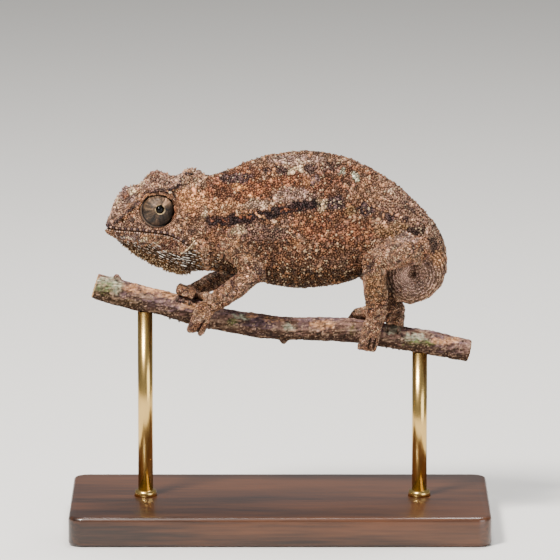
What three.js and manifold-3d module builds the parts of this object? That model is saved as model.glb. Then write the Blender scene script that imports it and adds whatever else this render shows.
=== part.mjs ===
// A small brown forest chameleon at life size, gripping a cut twig that a plain stand holds up.
// Millimetres, +Z up. The head points to -X, the animal's left side faces -Y, the floor is z = 0.

import * as THREE from 'three';
import { mergeVertices } from 'three/addons/utils/BufferGeometryUtils.js';
import Module from 'manifold-3d';

const wasm = await Module();
wasm.setup();

// ---- driving dimensions ----

const clearance = 0.3; // gap kept between pieces that touch

// The body from the snout to the root of the tail. Each station has its point on the back and
// on the belly as [x, z], its half width, how square its section is (2 is an ellipse) and its
// keel, by which the back is narrower than the belly.
const bodyStations = [
  { name: 'snoutTip', back: [-34.9, 61.2], belly: [-34.9, 59.8], halfWidth: 1.0, square: 2.2, keel: 0 },
  { name: 'lip', back: [-34.1, 63.2], belly: [-34.0, 58.9], halfWidth: 2.0, square: 2.3, keel: 0 },
  { name: 'nostril', back: [-33.1, 66.0], belly: [-32.3, 57.8], halfWidth: 2.8, square: 2.5, keel: -0.04 },
  { name: 'snoutBump', back: [-31.0, 68.8], belly: [-30.2, 56.2], halfWidth: 3.4, square: 2.7, keel: -0.1 },
  { name: 'snoutTop', back: [-28.4, 69.3], belly: [-27.8, 54.3], halfWidth: 3.9, square: 2.7, keel: -0.14 },
  { name: 'brow', back: [-24.7, 72.5], belly: [-25.2, 52.9], halfWidth: 4.4, square: 2.5, keel: -0.12 },
  { name: 'crownDip', back: [-21.7, 71.0], belly: [-22.4, 51.9], halfWidth: 4.8, square: 2.4, keel: -0.06 },
  { name: 'crown', back: [-19.6, 71.5], belly: [-19.6, 51.2], halfWidth: 5.1, square: 2.3, keel: 0 },
  { name: 'casqueTip', back: [-16.6, 72.7], belly: [-16.8, 51.5], halfWidth: 5.0, square: 2.2, keel: 0.1 },
  { name: 'nape', back: [-15.0, 71.2], belly: [-14.0, 51.8], halfWidth: 4.7, square: 2.2, keel: 0.14 },
  { name: 'shoulder', back: [-10.4, 72.5], belly: [-10.2, 50.8], halfWidth: 5.1, square: 2.1, keel: 0.2 },
  { name: 'chest', back: [-4.0, 75.1], belly: [-3.6, 49.4], halfWidth: 5.4, square: 2.1, keel: 0.24 },
  { name: 'midBack', back: [4.0, 76.3], belly: [3.0, 48.2], halfWidth: 5.8, square: 2.1, keel: 0.26 },
  { name: 'loin', back: [12.0, 75.4], belly: [9.6, 48.7], halfWidth: 5.8, square: 2.1, keel: 0.26 },
  { name: 'hip', back: [20.0, 71.8], belly: [16.0, 50.5], halfWidth: 5.4, square: 2.1, keel: 0.22 },
  { name: 'rump', back: [26.2, 66.8], belly: [20.6, 53.6], halfWidth: 4.9, square: 2.1, keel: 0.14 },
  { name: 'vent', back: [31.0, 61.5], belly: [24.6, 55.4], halfWidth: 4.1, square: 2.1, keel: 0.08 },
  { name: 'tailRoot', back: [33.3, 56.6], belly: [26.7, 54.2], halfWidth: 3.6, square: 2.1, keel: 0.05 },
];

// The tail winds on round a small hollow. Its outer radii lie at even turns from root to tip.
const tail = {
  centre: [26.4, 51.45],
  turnDegrees: 272,
  stationCount: 12,
  outerRadii: [6.95, 6.15, 6.4, 5.6, 3.9, 1.7],
  innerRadius: [0.75, 0.3],
  widthShare: 0.95, // half width as a share of half thickness
  square: 2.1,
  keel: 0.03,
};

const bodySides = 18;
const bodyParts = [
  { name: 'neck', from: 'nape', to: 'shoulder', rings: 3, colour: 0x7d5f4b },
  { name: 'trunk', from: 'shoulder', to: 'vent', rings: 12, colour: 0x7a5440 },
  { name: 'tail_base', from: 'vent', to: 'tail1', rings: 6, colour: 0x86705f },
  { name: 'tail_middle', from: 'tail1', to: 'tail5', rings: 9, colour: 0x857365 },
  { name: 'tail_tip', from: 'tail5', to: 'tail11', rings: 9, colour: 0x8c8078 },
];
const headRings = 16;
const endDome = 0.2; // how far the snout and the tail's tip stand out past their last ring

// The mouth line from the snout to the jaw corner, then the edge of the throat down and out.
const jawLine = [[-36, 60.7], [-32, 60.6], [-28, 60.5], [-24, 60.2], [-21.2, 59.5], [-18.4, 58.0]];
const throatEdge = [[-15.6, 55.4], [-14.8, 50], [-36, 50]];
const casqueEdge = [[-21.6, 75], [-20.9, 69.9], [-17.8, 68.4], [-13, 69.6], [-13, 75]];

// A bony ridge runs from the nostril over the eye to the casque, as [x, y out, z].
const crest = {
  line: [
    [-32.0, 3.0, 62.6], [-29.6, 3.6, 65.0], [-27.4, 4.0, 67.0], [-24.6, 4.1, 68.2], [-21.8, 4.2, 68.3],
    [-19.6, 3.5, 70.0], [-17.4, 1.8, 72.0],
  ],
  radii: [0.35, 0.55, 0.75, 0.75, 0.65, 0.6, 0.4],
  sides: 6,
  rings: 8,
};

// The eye turret, as [radius, distance out from the middle of the head], with its small pit.
const eye = {
  x: -25.2,
  z: 64.0,
  tiltBack: 13, // degrees that the turret looks back and up from straight out
  tiltUp: 12,
  turret: [[0, 1.3], [2.4, 1.5], [3.3, 2.4], [3.5, 3.6], [3.15, 4.7], [2.4, 5.6], [1.6, 6.2], [1.35, 6.3]],
  pit: [[1.2, 6.0], [1.1, 4.7], [0, 4.6]],
  ballRadius: 0.85,
  ballOut: 5.75,
  ballSlices: 9,
  ballRows: 6,
  slices: 15,
};

// Each limb from its root to its wrist or ankle as [x, y out from the middle, z], with radii.
const limbs = [
  {
    name: 'left', side: -1, parts: ['upper_arm', 'forearm'], foot: 'front',
    upper: { line: [[-10.4, 3.4, 58.6], [-7.8, 5.6, 56.0], [-4.9, 6.9, 52.6]], radii: [2.9, 2.5, 2.4] },
    lower: { line: [[-4.9, 6.9, 52.6], [-8.9, 6.0, 49.4], [-13.1, 3.6, 46.1]], radii: [2.0, 2.3, 2.05] },
  },
  {
    name: 'right', side: 1, parts: ['upper_arm', 'forearm'], foot: 'front',
    upper: { line: [[-10.4, 3.4, 58.6], [-8.6, 5.8, 55.0], [-6.3, 7.0, 51.2]], radii: [2.9, 2.5, 2.15] },
    lower: { line: [[-6.3, 7.0, 51.2], [-11.8, 6.6, 49.2], [-17.4, 4.6, 47.0]], radii: [2.0, 2.1, 1.6] },
  },
  {
    name: 'left', side: -1, parts: ['thigh', 'shank'], foot: 'hind',
    upper: { line: [[27.4, 2.8, 56.9], [23.0, 6.0, 56.4], [18.5, 7.4, 54.7]], radii: [3.3, 3.05, 2.5] },
    lower: { line: [[18.5, 7.4, 54.7], [18.9, 6.4, 49.6], [19.4, 3.8, 44.2]], radii: [2.3, 2.5, 2.3] },
  },
  {
    name: 'right', side: 1, parts: ['thigh', 'shank'], foot: 'hind',
    upper: { line: [[26.6, 2.8, 57.2], [22.4, 6.2, 54.2], [17.8, 7.8, 50.4]], radii: [3.3, 3.0, 2.4] },
    lower: { line: [[17.8, 7.8, 50.4], [20.2, 6.2, 47.2], [23.2, 3.8, 43.6]], radii: [2.2, 2.35, 2.1] },
  },
];
const limbFacets = { sides: 11, rings: 7 };

// Each foot clasps the twig with an outer and an inner bundle of toes. The angles are turned
// down from the cleft between them, outwards for the outer bundle and inwards for the inner one.
// A foot's cleft lies over the top of the twig, or is turned out towards the foot's own side.
const toeAngles = { outer: [58, 98, 140], inner: [2, 44, 92] };
const feet = {
  left_front: {
    x: -15.2, toes: { outer: 2, inner: 3 }, lean: { outer: -0.9, inner: -0.9 }, cleft: 0, reach: 1,
  },
  right_front: {
    x: -19.9, toes: { outer: 2, inner: 3 }, lean: { outer: -0.2, inner: -0.1 }, cleft: 32, reach: 0.66,
  },
  left_hind: {
    x: 18.3, toes: { outer: 3, inner: 2 }, lean: { outer: -0.5, inner: -3.9 }, cleft: 0, reach: 1,
  },
  right_hind: {
    x: 22.9, toes: { outer: 3, inner: 2 }, lean: { outer: 0.2, inner: -0.6 }, cleft: 32, reach: 0.66,
  },
};
const toes = {
  radii: [1.25, 1.25, 1.15, 1.0],
  gap: 0.4, // between a toe and the twig
  spacing: { 2: 1.7, 3: 1.1 }, // by how many toes share the bundle
  slimness: { 2: 1, 3: 0.8 },
  rootSpacing: 0.45,
  fan: 0.08, // share by which the spacing grows at each joint
  sides: 6,
  rings: 6,
};
const claw = { length: 0.55, radii: [0.3, 0.24, 0.12], sides: 4, rings: 4 };

// The twig as [x, z] along its middle, with its radius at each point.
const perch = {
  line: [[-37, 48.9], [-30, 46.8], [-22, 45.0], [-14, 42.5], [-7, 41.2], [0, 40.2], [8, 40.1], [15, 39.7],
    [22, 38.6], [30, 37.3], [38, 35.5]],
  radii: [2.6, 2.65, 2.6, 2.5, 2.4, 2.35, 2.4, 2.45, 2.4, 2.4, 2.35],
  swells: [{ share: 0.035, pace: 31 }, { share: 0.02, pace: 74 }], // the bark's slow and quick swells
  sides: 12,
  rings: 19,
};
const knots = [
  { line: [[-33.3, 0, 47.8], [-33.0, -0.3, 49.3], [-32.7, -0.4, 50.3]], radii: [1.6, 1.35, 1.05] },
  { line: [[1.2, 0.2, 39.6], [1.0, 0, 38.6], [0.7, -0.3, 37.9]], radii: [1.5, 1.25, 0.9] },
];
const knotFacets = { sides: 6, rings: 5 };

const stand = {
  length: 84,
  depth: 44,
  thickness: 6,
  cornerRadius: 3,
  cornerSegments: 3,
  bevel: 0.8,
  rodRadius: 1.5,
  rods: { front: -27, rear: 28 },
  rodSides: 16,
};

// ---- closed forms ----

// A manifold solid from a closed three.js geometry.
function solid(geometry) {
  geometry.deleteAttribute('normal');
  geometry.deleteAttribute('uv');
  const merged = mergeVertices(geometry);
  return new wasm.Manifold(new wasm.Mesh({
    numProp: 3,
    vertProperties: new Float32Array(merged.attributes.position.array),
    triVerts: new Uint32Array(merged.index.array),
  }));
}

// One point of a ring: turn runs round the ring from its up side towards its side vector.
function ringPoint(ring, turn) {
  const power = 2 / ring.square;
  const height = Math.sign(Math.cos(turn)) * Math.abs(Math.cos(turn)) ** power;
  const width = Math.sign(Math.sin(turn)) * Math.abs(Math.sin(turn)) ** power;
  return ring.centre.clone()
    .addScaledVector(ring.up, height)
    .addScaledVector(ring.side, width * (1 - ring.keel * height));
}

// A closed form of rings in a row. Its two ends are closed by a point that stands out by a dome.
function ringForm(ringCount, sides, ringAt, dome) {
  const rows = ringCount + 1;
  const rings = Array.from({ length: ringCount }, (_, index) => ringAt(index / (ringCount - 1)));
  const ball = new THREE.SphereGeometry(1, sides, rows);
  const { position, uv } = ball.attributes;
  for (let index = 0; index < position.count; index += 1) {
    const row = Math.round((1 - uv.getY(index)) * rows);
    const ring = rings[Math.min(Math.max(row - 1, 0), ringCount - 1)];
    const onwards = new THREE.Vector3().crossVectors(ring.side, ring.up).normalize();
    let point = ringPoint(ring, uv.getX(index) * 2 * Math.PI);
    if (row === 0) point = ring.centre.clone().addScaledVector(onwards, -dome);
    if (row === rows) point = ring.centre.clone().addScaledVector(onwards, dome);
    position.setXYZ(index, point.x, point.y, point.z);
  }
  return solid(ball);
}

// A smooth run through values at equal steps.
function smoothRun(values) {
  const spots = values.map((value, index) => new THREE.Vector3(index, value, 0));
  const curve = new THREE.CatmullRomCurve3(spots);
  return (share) => curve.getPoint(share).y;
}

// A vector made longer by a distance.
function longer(vector, distance) {
  return vector.clone().setLength(vector.length() + distance);
}

// A rounded end has one ring more, set out by a share of the radius and that much narrower, and
// a point that stands out past it.
const roundEnd = { out: 0.72, width: 0.7, point: 0.28 };

// A round form along a smooth line through [x, y, z] points. Its ends are rounded, and its side
// vector stays close to the direction across.
function roundForm(line, radii, across, { sides, rings, grow = 0 }) {
  const path = new THREE.CatmullRomCurve3(line.map((point) => new THREE.Vector3(...point)));
  const thickness = smoothRun(radii);
  const capStep = 1 / (rings - 1);
  const ringAt = (share) => {
    const inner = THREE.MathUtils.clamp((share - capStep) / (1 - 2 * capStep), 0, 1);
    const onwards = path.getTangentAt(inner);
    const radius = thickness(inner) + grow;
    const atEnd = share < capStep / 2 || share > 1 - capStep / 2;
    const outwards = share < 0.5 ? -1 : 1;
    const shift = atEnd ? outwards * radius * roundEnd.out : 0;
    const size = atEnd ? radius * roundEnd.width : radius;
    const side = across.clone().addScaledVector(onwards, -across.dot(onwards)).normalize();
    const up = new THREE.Vector3().crossVectors(onwards, side);
    return {
      centre: path.getPointAt(inner).addScaledVector(onwards, shift),
      up: up.multiplyScalar(size),
      side: side.multiplyScalar(size),
      square: 2,
      keel: 0,
    };
  };
  return ringForm(rings, sides, ringAt, roundEnd.point * (radii.at(-1) + grow));
}

// ---- the body from snout to tail ----

const tailOuter = smoothRun(tail.outerRadii);

function tailStation(index) {
  const share = index / (tail.stationCount - 1);
  const turn = THREE.MathUtils.degToRad(tail.turnDegrees * share);
  const outer = tailOuter(share);
  const inner = THREE.MathUtils.lerp(...tail.innerRadius, share);
  const spot = (radius) => [
    tail.centre[0] + radius * Math.cos(turn),
    tail.centre[1] - radius * Math.sin(turn),
  ];
  const halfWidth = tail.widthShare * (outer - inner) / 2;
  return {
    name: `tail${index}`,
    back: spot(outer),
    belly: spot(inner),
    halfWidth,
    square: tail.square,
    keel: tail.keel,
  };
}

const stations = [
  ...bodyStations,
  ...Array.from({ length: tail.stationCount }, (_, index) => tailStation(index)),
];
const upright = ([x, z]) => new THREE.Vector3(x, 0, z);
const backLine = new THREE.CatmullRomCurve3(stations.map((station) => upright(station.back)));
const bellyLine = new THREE.CatmullRomCurve3(stations.map((station) => upright(station.belly)));
const girthLine = new THREE.CatmullRomCurve3(
  stations.map(({ halfWidth, square, keel }) => new THREE.Vector3(halfWidth, square, keel)),
);

// The body's ring at a station number, which may lie between two stations.
function bodyRing(number, grow) {
  const share = number / (stations.length - 1);
  const back = backLine.getPoint(share);
  const belly = bellyLine.getPoint(share);
  const girth = girthLine.getPoint(share);
  return {
    centre: back.clone().add(belly).multiplyScalar(0.5),
    up: longer(back.clone().sub(belly).multiplyScalar(0.5), grow),
    side: new THREE.Vector3(0, girth.x + grow, 0),
    square: girth.y,
    keel: girth.z,
  };
}

const stationNumber = (name) => stations.findIndex((station) => station.name === name);

// A station number moved along the body by a distance.
function nudged(number, distance) {
  const step = 0.01;
  const here = Math.min(Math.max(number, step), stations.length - 1 - step);
  const stride = bodyRing(here + step, 0).centre.distanceTo(bodyRing(here - step, 0).centre);
  return number + distance * 2 * step / stride;
}

// A length of the body between two named stations, shortened by its half of each gap.
function bodyLength(from, to, rings, grow = 0) {
  const first = from === 'snoutTip' ? 0 : nudged(stationNumber(from), clearance / 2 - grow);
  const end = stationNumber(to);
  const last = end === stations.length - 1 ? end : nudged(end, grow - clearance / 2);
  const dome = from === 'snoutTip' || end === stations.length - 1 ? endDome : 0;
  return ringForm(rings, bodySides, (share) => bodyRing(first + (last - first) * share, grow), dome);
}

// ---- the head ----

// A block of an [x, z] outline, cut right across the head.
function acrossHead(outline) {
  const halfSpan = 12;
  const shape = new THREE.Shape(outline.map(([x, z]) => new THREE.Vector2(x, z)));
  const block = new THREE.ExtrudeGeometry(shape, { depth: 2 * halfSpan, bevelEnabled: false });
  block.rotateX(Math.PI / 2);
  block.translate(0, halfSpan, 0);
  return solid(block);
}

// The same outline pushed out by the clearance, round a middle point inside it.
function pushedOut(outline) {
  const points = outline.map(([x, z]) => new THREE.Vector2(x, z));
  const count = points.length;
  const clockwise = THREE.ShapeUtils.isClockWise(points);
  return points.map((point, index) => {
    const before = points[(index + count - 1) % count];
    const after = points[(index + 1) % count];
    const along = after.clone().sub(before).normalize();
    const turned = clockwise ? new THREE.Vector2(-along.y, along.x) : new THREE.Vector2(along.y, -along.x);
    return [point.x + turned.x * clearance, point.y + turned.y * clearance];
  });
}

// A shape about the +Y axis turned to look out from its side of the head, a little back and up.
function placedEye(geometry, side) {
  geometry.rotateX(side < 0 ? Math.PI : 0);
  geometry.rotateX(THREE.MathUtils.degToRad(side * eye.tiltUp));
  geometry.rotateZ(THREE.MathUtils.degToRad(-side * eye.tiltBack));
  return geometry.translate(eye.x, 0, eye.z);
}

// The turret's outline spun round its own axis, which points out sideways from the head.
function turretForm(side, outline, grow) {
  const grown = outline.map(([radius, out], index) => {
    const outwards = index === 0 ? out - grow : out;
    return new THREE.Vector2(radius > 0 ? radius + grow : 0, outwards);
  });
  return solid(placedEye(new THREE.LatheGeometry(grown, eye.slices), side));
}

const sideways = new THREE.Vector3(0, 1, 0);
const headForm = [-1, 1].reduce((form, side) => {
  const ridge = crest.line.map(([x, out, z]) => [x, side * out, z]);
  return form.add(roundForm(ridge, crest.radii, sideways, crest));
}, bodyLength('snoutTip', 'nape', headRings));

const orbitOutline = [...eye.turret, [0, eye.turret.at(-1)[1] + clearance]];
const orbits = [-1, 1].map((side) => turretForm(side, orbitOutline, clearance));
const jawOutline = [...jawLine, ...throatEdge];
const jawCutter = acrossHead(pushedOut(jawOutline));
const casqueCutter = acrossHead(pushedOut(casqueEdge));
const skull = headForm.subtract(orbits[0]).subtract(orbits[1]);

const solids = {};
const colours = {};

function keep(name, form, colour) {
  solids[name] = form;
  colours[name] = colour;
}

keep('head', skull.subtract(jawCutter).subtract(casqueCutter), 0x8b6f5c);
keep('lower_jaw', skull.intersect(acrossHead(jawOutline)), 0x9c8f7c);
keep('casque', skull.intersect(acrossHead(casqueEdge)), 0x8f7360);

[['left', -1], ['right', 1]].forEach(([name, side]) => {
  keep(`${name}_eye_turret`, turretForm(side, [...eye.turret, ...eye.pit], 0), 0x7b7363);
  const ball = new THREE.SphereGeometry(eye.ballRadius, eye.ballSlices, eye.ballRows);
  ball.translate(0, eye.ballOut, 0);
  keep(`${name}_eye`, solid(placedEye(ball, side)), 0x0c0b0a);
});

bodyParts.forEach(({ name, from, to, rings, colour }) => keep(name, bodyLength(from, to, rings), colour));

// ---- the perch ----

const perchPath = perch.line.map(([x, z]) => [x, 0, z]);
const perchCurve = new THREE.CatmullRomCurve3(perchPath.map((point) => new THREE.Vector3(...point)));

// The middle of the twig at x, found by halving, with its direction and radius there.
function perchAt(x) {
  const halvings = 30;
  let low = 0;
  let high = 1;
  for (let step = 0; step < halvings; step += 1) {
    const middle = (low + high) / 2;
    if (perchCurve.getPoint(middle).x < x) low = middle;
    else high = middle;
  }
  const place = low * (perch.radii.length - 1);
  const before = perch.radii[Math.floor(place)];
  const after = perch.radii[Math.ceil(place)];
  return {
    centre: perchCurve.getPoint(low),
    along: perchCurve.getTangent(low),
    radius: THREE.MathUtils.lerp(before, after, place % 1),
  };
}

// The twig with its knots. Its bark swells and thins a little from ring to ring.
function perchForm(grow) {
  const [first, last] = [perch.line[0][0], perch.line.at(-1)[0]];
  const ringAt = (share) => {
    const { centre, along, radius } = perchAt(THREE.MathUtils.lerp(first, last, share));
    const swollen = perch.swells.reduce((sum, swell) => (
      sum + radius * swell.share * Math.sin(share * swell.pace)
    ), radius);
    const side = new THREE.Vector3(0, swollen + grow, 0);
    const up = new THREE.Vector3(-along.z, 0, along.x).setLength(swollen + grow);
    return { centre, side, up, square: 2, keel: 0 };
  };
  const bare = ringForm(perch.rings, perch.sides, ringAt, 0);
  return knots.reduce((form, knot) => (
    form.add(roundForm(knot.line, knot.radii, sideways, { ...knotFacets, grow }))
  ), bare);
}

keep('perch', perchForm(0), 0x6d6258);

// ---- limbs, toes and claws ----

// The frame of a foot: a point on the twig, the twig's direction, up, and out to its own side.
function footFrame(foot, side) {
  const { centre, along, radius } = perchAt(foot.x);
  const up = new THREE.Vector3(-along.z, 0, along.x);
  return { centre, along, up, out: new THREE.Vector3(0, side, 0), radius };
}

function toeSpot(frame, degrees, distance, offset) {
  const angle = THREE.MathUtils.degToRad(degrees);
  return frame.centre.clone()
    .addScaledVector(frame.along, offset)
    .addScaledVector(frame.up, distance * Math.cos(angle))
    .addScaledVector(frame.out, distance * Math.sin(angle));
}

// One toe, from the wrist over the twig, and the line of the claw that carries its curve on.
function toe(foot, frame, wrist, bundle, index, grow) {
  const count = foot.toes[bundle];
  const slimness = toes.slimness[count];
  const place = index - (count - 1) / 2;
  const inwards = bundle === 'inner' ? -1 : 1;
  const angles = toeAngles[bundle].map((angle) => foot.cleft + inwards * angle * foot.reach);
  const offsetAt = (joint) => (
    place * toes.spacing[count] * (1 + toes.fan * joint) + foot.lean[bundle] * (joint + 1) / 3
  );
  const spots = angles.map((angle, joint) => {
    const radius = toes.radii[joint + 1] * slimness;
    return toeSpot(frame, angle, frame.radius + toes.gap + radius, offsetAt(joint));
  });
  const root = wrist.clone().addScaledVector(frame.along, place * toes.rootSpacing);
  const line = [root, ...spots].map((point) => point.toArray());
  const radii = toes.radii.map((radius) => radius * slimness);
  const form = roundForm(line, radii, frame.along, { sides: toes.sides, rings: toes.rings, grow });

  const tipRadius = radii.at(-1);
  const tipDistance = frame.radius + toes.gap + tipRadius;
  const degreesPerMm = THREE.MathUtils.radToDeg(1 / tipDistance);
  const start = angles.at(-1) + inwards * (tipRadius + clearance + claw.radii[0]) * degreesPerMm;
  const clawLine = claw.radii.map((radius, step) => {
    const angle = start + inwards * claw.length * degreesPerMm * step / 2;
    const distance = THREE.MathUtils.lerp(tipDistance, frame.radius + toes.gap + radius, step / 2);
    return toeSpot(frame, angle, distance, offsetAt(2)).toArray();
  });
  return { form, clawLine };
}

function bundleForm(foot, frame, wrist, bundle, grow) {
  const forms = Array.from({ length: foot.toes[bundle] }, (_, index) => (
    toe(foot, frame, wrist, bundle, index, grow).form
  ));
  return forms.reduce((whole, next) => whole.add(next));
}

const trunkCutterRings = 30;
const trunkCutter = bodyLength('crown', 'tail1', trunkCutterRings, clearance);
const perchCutter = perchForm(clearance);

limbs.forEach(({ name, side, parts, foot: footName, upper, lower }) => {
  const limbForm = ({ line, radii }, grow) => {
    const placed = line.map(([x, out, z]) => [x, side * out, z]);
    return roundForm(placed, radii, sideways, { ...limbFacets, grow });
  };
  const [upperName, lowerName] = parts;
  const upperCutter = limbForm(upper, clearance);
  const lowerCutter = limbForm(lower, clearance);

  const foot = feet[`${name}_${footName}`];
  const frame = footFrame(foot, side);
  const [wristX, wristOut, wristZ] = lower.line.at(-1);
  const wrist = new THREE.Vector3(wristX, side * wristOut, wristZ);
  const outer = bundleForm(foot, frame, wrist, 'outer', 0);
  const outerCutter = bundleForm(foot, frame, wrist, 'outer', clearance);
  const inner = bundleForm(foot, frame, wrist, 'inner', 0);
  const cutters = lowerCutter.add(perchCutter);

  keep(`${name}_${upperName}`, limbForm(upper, 0).subtract(trunkCutter), 0x8a6048);
  keep(`${name}_${lowerName}`, limbForm(lower, 0).subtract(upperCutter), 0x8d6848);
  keep(`${name}_${footName}_outer_toes`, outer.subtract(cutters), 0x94714f);
  keep(`${name}_${footName}_inner_toes`, inner.subtract(cutters).subtract(outerCutter), 0x94714f);

  let number = 1;
  ['outer', 'inner'].forEach((bundle) => {
    for (let index = 0; index < foot.toes[bundle]; index += 1) {
      const { clawLine } = toe(foot, frame, wrist, bundle, index, 0);
      const form = roundForm(clawLine, claw.radii, frame.along, { sides: claw.sides, rings: claw.rings });
      keep(`${name}_${footName}_claw_${number}`, form, 0x4b3a2c);
      number += 1;
    }
  });
});

// ---- the stand ----

function roundedRectangle(length, depth, radius) {
  const [x, y] = [length / 2, depth / 2];
  const shape = new THREE.Shape();
  shape.moveTo(radius - x, -y);
  shape.lineTo(x - radius, -y);
  shape.absarc(x - radius, radius - y, radius, -Math.PI / 2, 0);
  shape.lineTo(x, y - radius);
  shape.absarc(x - radius, y - radius, radius, 0, Math.PI / 2);
  shape.lineTo(radius - x, y);
  shape.absarc(radius - x, y - radius, radius, Math.PI / 2, Math.PI);
  shape.lineTo(-x, radius - y);
  shape.absarc(radius - x, radius - y, radius, Math.PI, 1.5 * Math.PI);
  return shape;
}

const baseShape = roundedRectangle(
  stand.length - 2 * stand.bevel,
  stand.depth - 2 * stand.bevel,
  stand.cornerRadius - stand.bevel,
);
const base = new THREE.ExtrudeGeometry(baseShape, {
  depth: stand.thickness - 2 * stand.bevel,
  bevelSize: stand.bevel,
  bevelThickness: stand.bevel,
  bevelSegments: 1,
  curveSegments: stand.cornerSegments,
});
base.translate(0, 0, stand.bevel);
keep('stand_base', solid(base), 0x3a2a20);

Object.entries(stand.rods).forEach(([name, x]) => {
  const foot = stand.thickness + clearance;
  const top = perchAt(x).centre.z;
  const rod = new THREE.CylinderGeometry(stand.rodRadius, stand.rodRadius, top - foot, stand.rodSides);
  rod.rotateX(Math.PI / 2);
  rod.translate(x, 0, (top + foot) / 2);
  keep(`stand_rod_${name}`, solid(rod).subtract(perchCutter), 0xb08d4f);
});

// ---- the named meshes ----

const chameleon = new THREE.Group();
Object.entries(solids).forEach(([name, form]) => {
  const { vertProperties, triVerts } = form.getMesh();
  const geometry = new THREE.BufferGeometry();
  geometry.setAttribute('position', new THREE.BufferAttribute(new Float32Array(vertProperties), 3));
  geometry.setIndex(new THREE.BufferAttribute(new Uint32Array(triVerts), 1));
  const metal = name.startsWith('stand_rod');
  const material = new THREE.MeshStandardMaterial({
    color: colours[name],
    roughness: metal ? 0.3 : 0.8,
    metalness: metal ? 1 : 0,
  });
  const mesh = new THREE.Mesh(geometry, material);
  mesh.name = name;
  chameleon.add(mesh);
});

export default chameleon;
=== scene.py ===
import math
from itertools import product

import bmesh
import bpy
import numpy as np
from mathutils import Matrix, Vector
from mathutils.bvhtree import BVHTree
from mathutils.kdtree import KDTree


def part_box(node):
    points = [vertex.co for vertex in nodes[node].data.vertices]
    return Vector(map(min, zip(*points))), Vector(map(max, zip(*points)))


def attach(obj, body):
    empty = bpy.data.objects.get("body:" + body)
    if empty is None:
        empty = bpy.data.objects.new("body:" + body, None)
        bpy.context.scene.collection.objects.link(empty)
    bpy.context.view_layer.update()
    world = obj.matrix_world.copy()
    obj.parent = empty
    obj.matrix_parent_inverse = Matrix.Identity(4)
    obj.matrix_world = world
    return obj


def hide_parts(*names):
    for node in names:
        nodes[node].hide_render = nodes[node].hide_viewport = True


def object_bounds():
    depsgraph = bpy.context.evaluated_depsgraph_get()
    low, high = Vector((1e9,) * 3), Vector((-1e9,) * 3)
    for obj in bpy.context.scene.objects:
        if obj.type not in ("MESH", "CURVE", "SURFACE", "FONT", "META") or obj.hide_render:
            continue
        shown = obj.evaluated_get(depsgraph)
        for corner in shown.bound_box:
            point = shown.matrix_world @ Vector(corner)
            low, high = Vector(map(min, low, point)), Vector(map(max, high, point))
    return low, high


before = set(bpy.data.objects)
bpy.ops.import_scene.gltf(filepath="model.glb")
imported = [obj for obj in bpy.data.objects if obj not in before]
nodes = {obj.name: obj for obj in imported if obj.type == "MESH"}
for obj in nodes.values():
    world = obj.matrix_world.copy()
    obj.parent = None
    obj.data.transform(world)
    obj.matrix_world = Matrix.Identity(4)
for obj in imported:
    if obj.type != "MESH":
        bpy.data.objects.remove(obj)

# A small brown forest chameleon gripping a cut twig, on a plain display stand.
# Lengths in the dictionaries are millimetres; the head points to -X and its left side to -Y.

mm = 0.001
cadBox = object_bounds()
chance = np.random.default_rng(31)


# A colour as seen on a screen, from 0 to 255, as linear light.
def shade(red, green, blue):
    return np.array([((value / 255 + 0.055) / 1.055) ** 2.4 for value in (red, green, blue)])


pigmentTone = {"light": 0.9, "depth": 1.35}


# A pigment that looks like that colour under the studio's light: deeper and fuller than it.
def pigment(red, green, blue):
    return pigmentTone["light"] * shade(red, green, blue) ** pigmentTone["depth"]


def pigments(**tints):
    return {name: pigment(*tint) for name, tint in tints.items()}


# Goes softly from 0 to 1 as the values do.
def eased(values):
    values = np.clip(values, 0, 1)
    return values * values * (3 - 2 * values)


# Smooth random values from -1 to 1 at each point. The scale is the size of a lump. Products and
# shifts scramble each cell's corners and the seed into a random value, the same in every run.
def lumps(points, scale, seed):
    cells = np.asarray(points) / scale + 500.5
    corner = np.floor(cells).astype(np.int64)
    share = cells - corner
    share = share * share * (3 - 2 * share)
    total = np.zeros(len(cells))
    for step in product((0, 1), repeat=3):
        mixed = (corner + step) @ np.array([73856093, 19349663, 83492791]) + seed * 2654435761
        mixed = ((mixed ^ (mixed >> 15)) * 2246822519) & 0xFFFFFFFF
        mixed = ((mixed ^ (mixed >> 13)) * 3266489917) & 0xFFFFFFFF
        weight = np.prod(np.where(step, share, 1 - share), axis=1)
        total += weight * (mixed / 0x7FFFFFFF - 1)
    return total


# A smooth line of so many points through a few given ones.
def smoothLine(points, count):
    points = np.array(points, float)
    padded = np.vstack([2 * points[0] - points[1], points, 2 * points[-1] - points[-2]])
    place = np.linspace(0, len(points) - 1, count)
    start = np.minimum(place.astype(int), len(points) - 2)
    t = (place - start)[:, None]
    a, b, c, d = (padded[start + step] for step in range(4))
    bend = (2 * a - 5 * b + 4 * c - d) * t ** 2 + (3 * b - a - 3 * c + d) * t ** 3
    return 0.5 * (2 * b + (c - a) * t + bend)


# How far points of the side view are from a line of it, and how far they are above it.
def fromLine(side, line):
    distance = np.full(len(side), 1e9)
    above = np.zeros(len(side))
    for start, end in zip(np.array(line[:-1], float), np.array(line[1:], float)):
        run = end - start
        share = np.clip((side - start) @ run / (run @ run), 0, 1)
        gap = side - start - share[:, None] * run
        length = np.linalg.norm(gap, axis=1)
        closer = length < distance
        distance = np.where(closer, length, distance)
        above = np.where(closer, gap[:, 1], above)
    return distance, above


# Colours drawn towards named tints, layer upon layer, by a share from 0 to 1 at each point.
def layered(colours, tints, *layers):
    for share, name in layers:
        colours = colours + (tints[name] - colours) * np.clip(share, 0, 1)[:, None]
    return colours


# 1 inside an oval of the side view and 0 outside it. The edge is soft from reach - edge to reach.
def inOval(side, middle, size, reach, edge):
    return eased((reach - np.linalg.norm((side - middle) / size, axis=1)) / edge)


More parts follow.
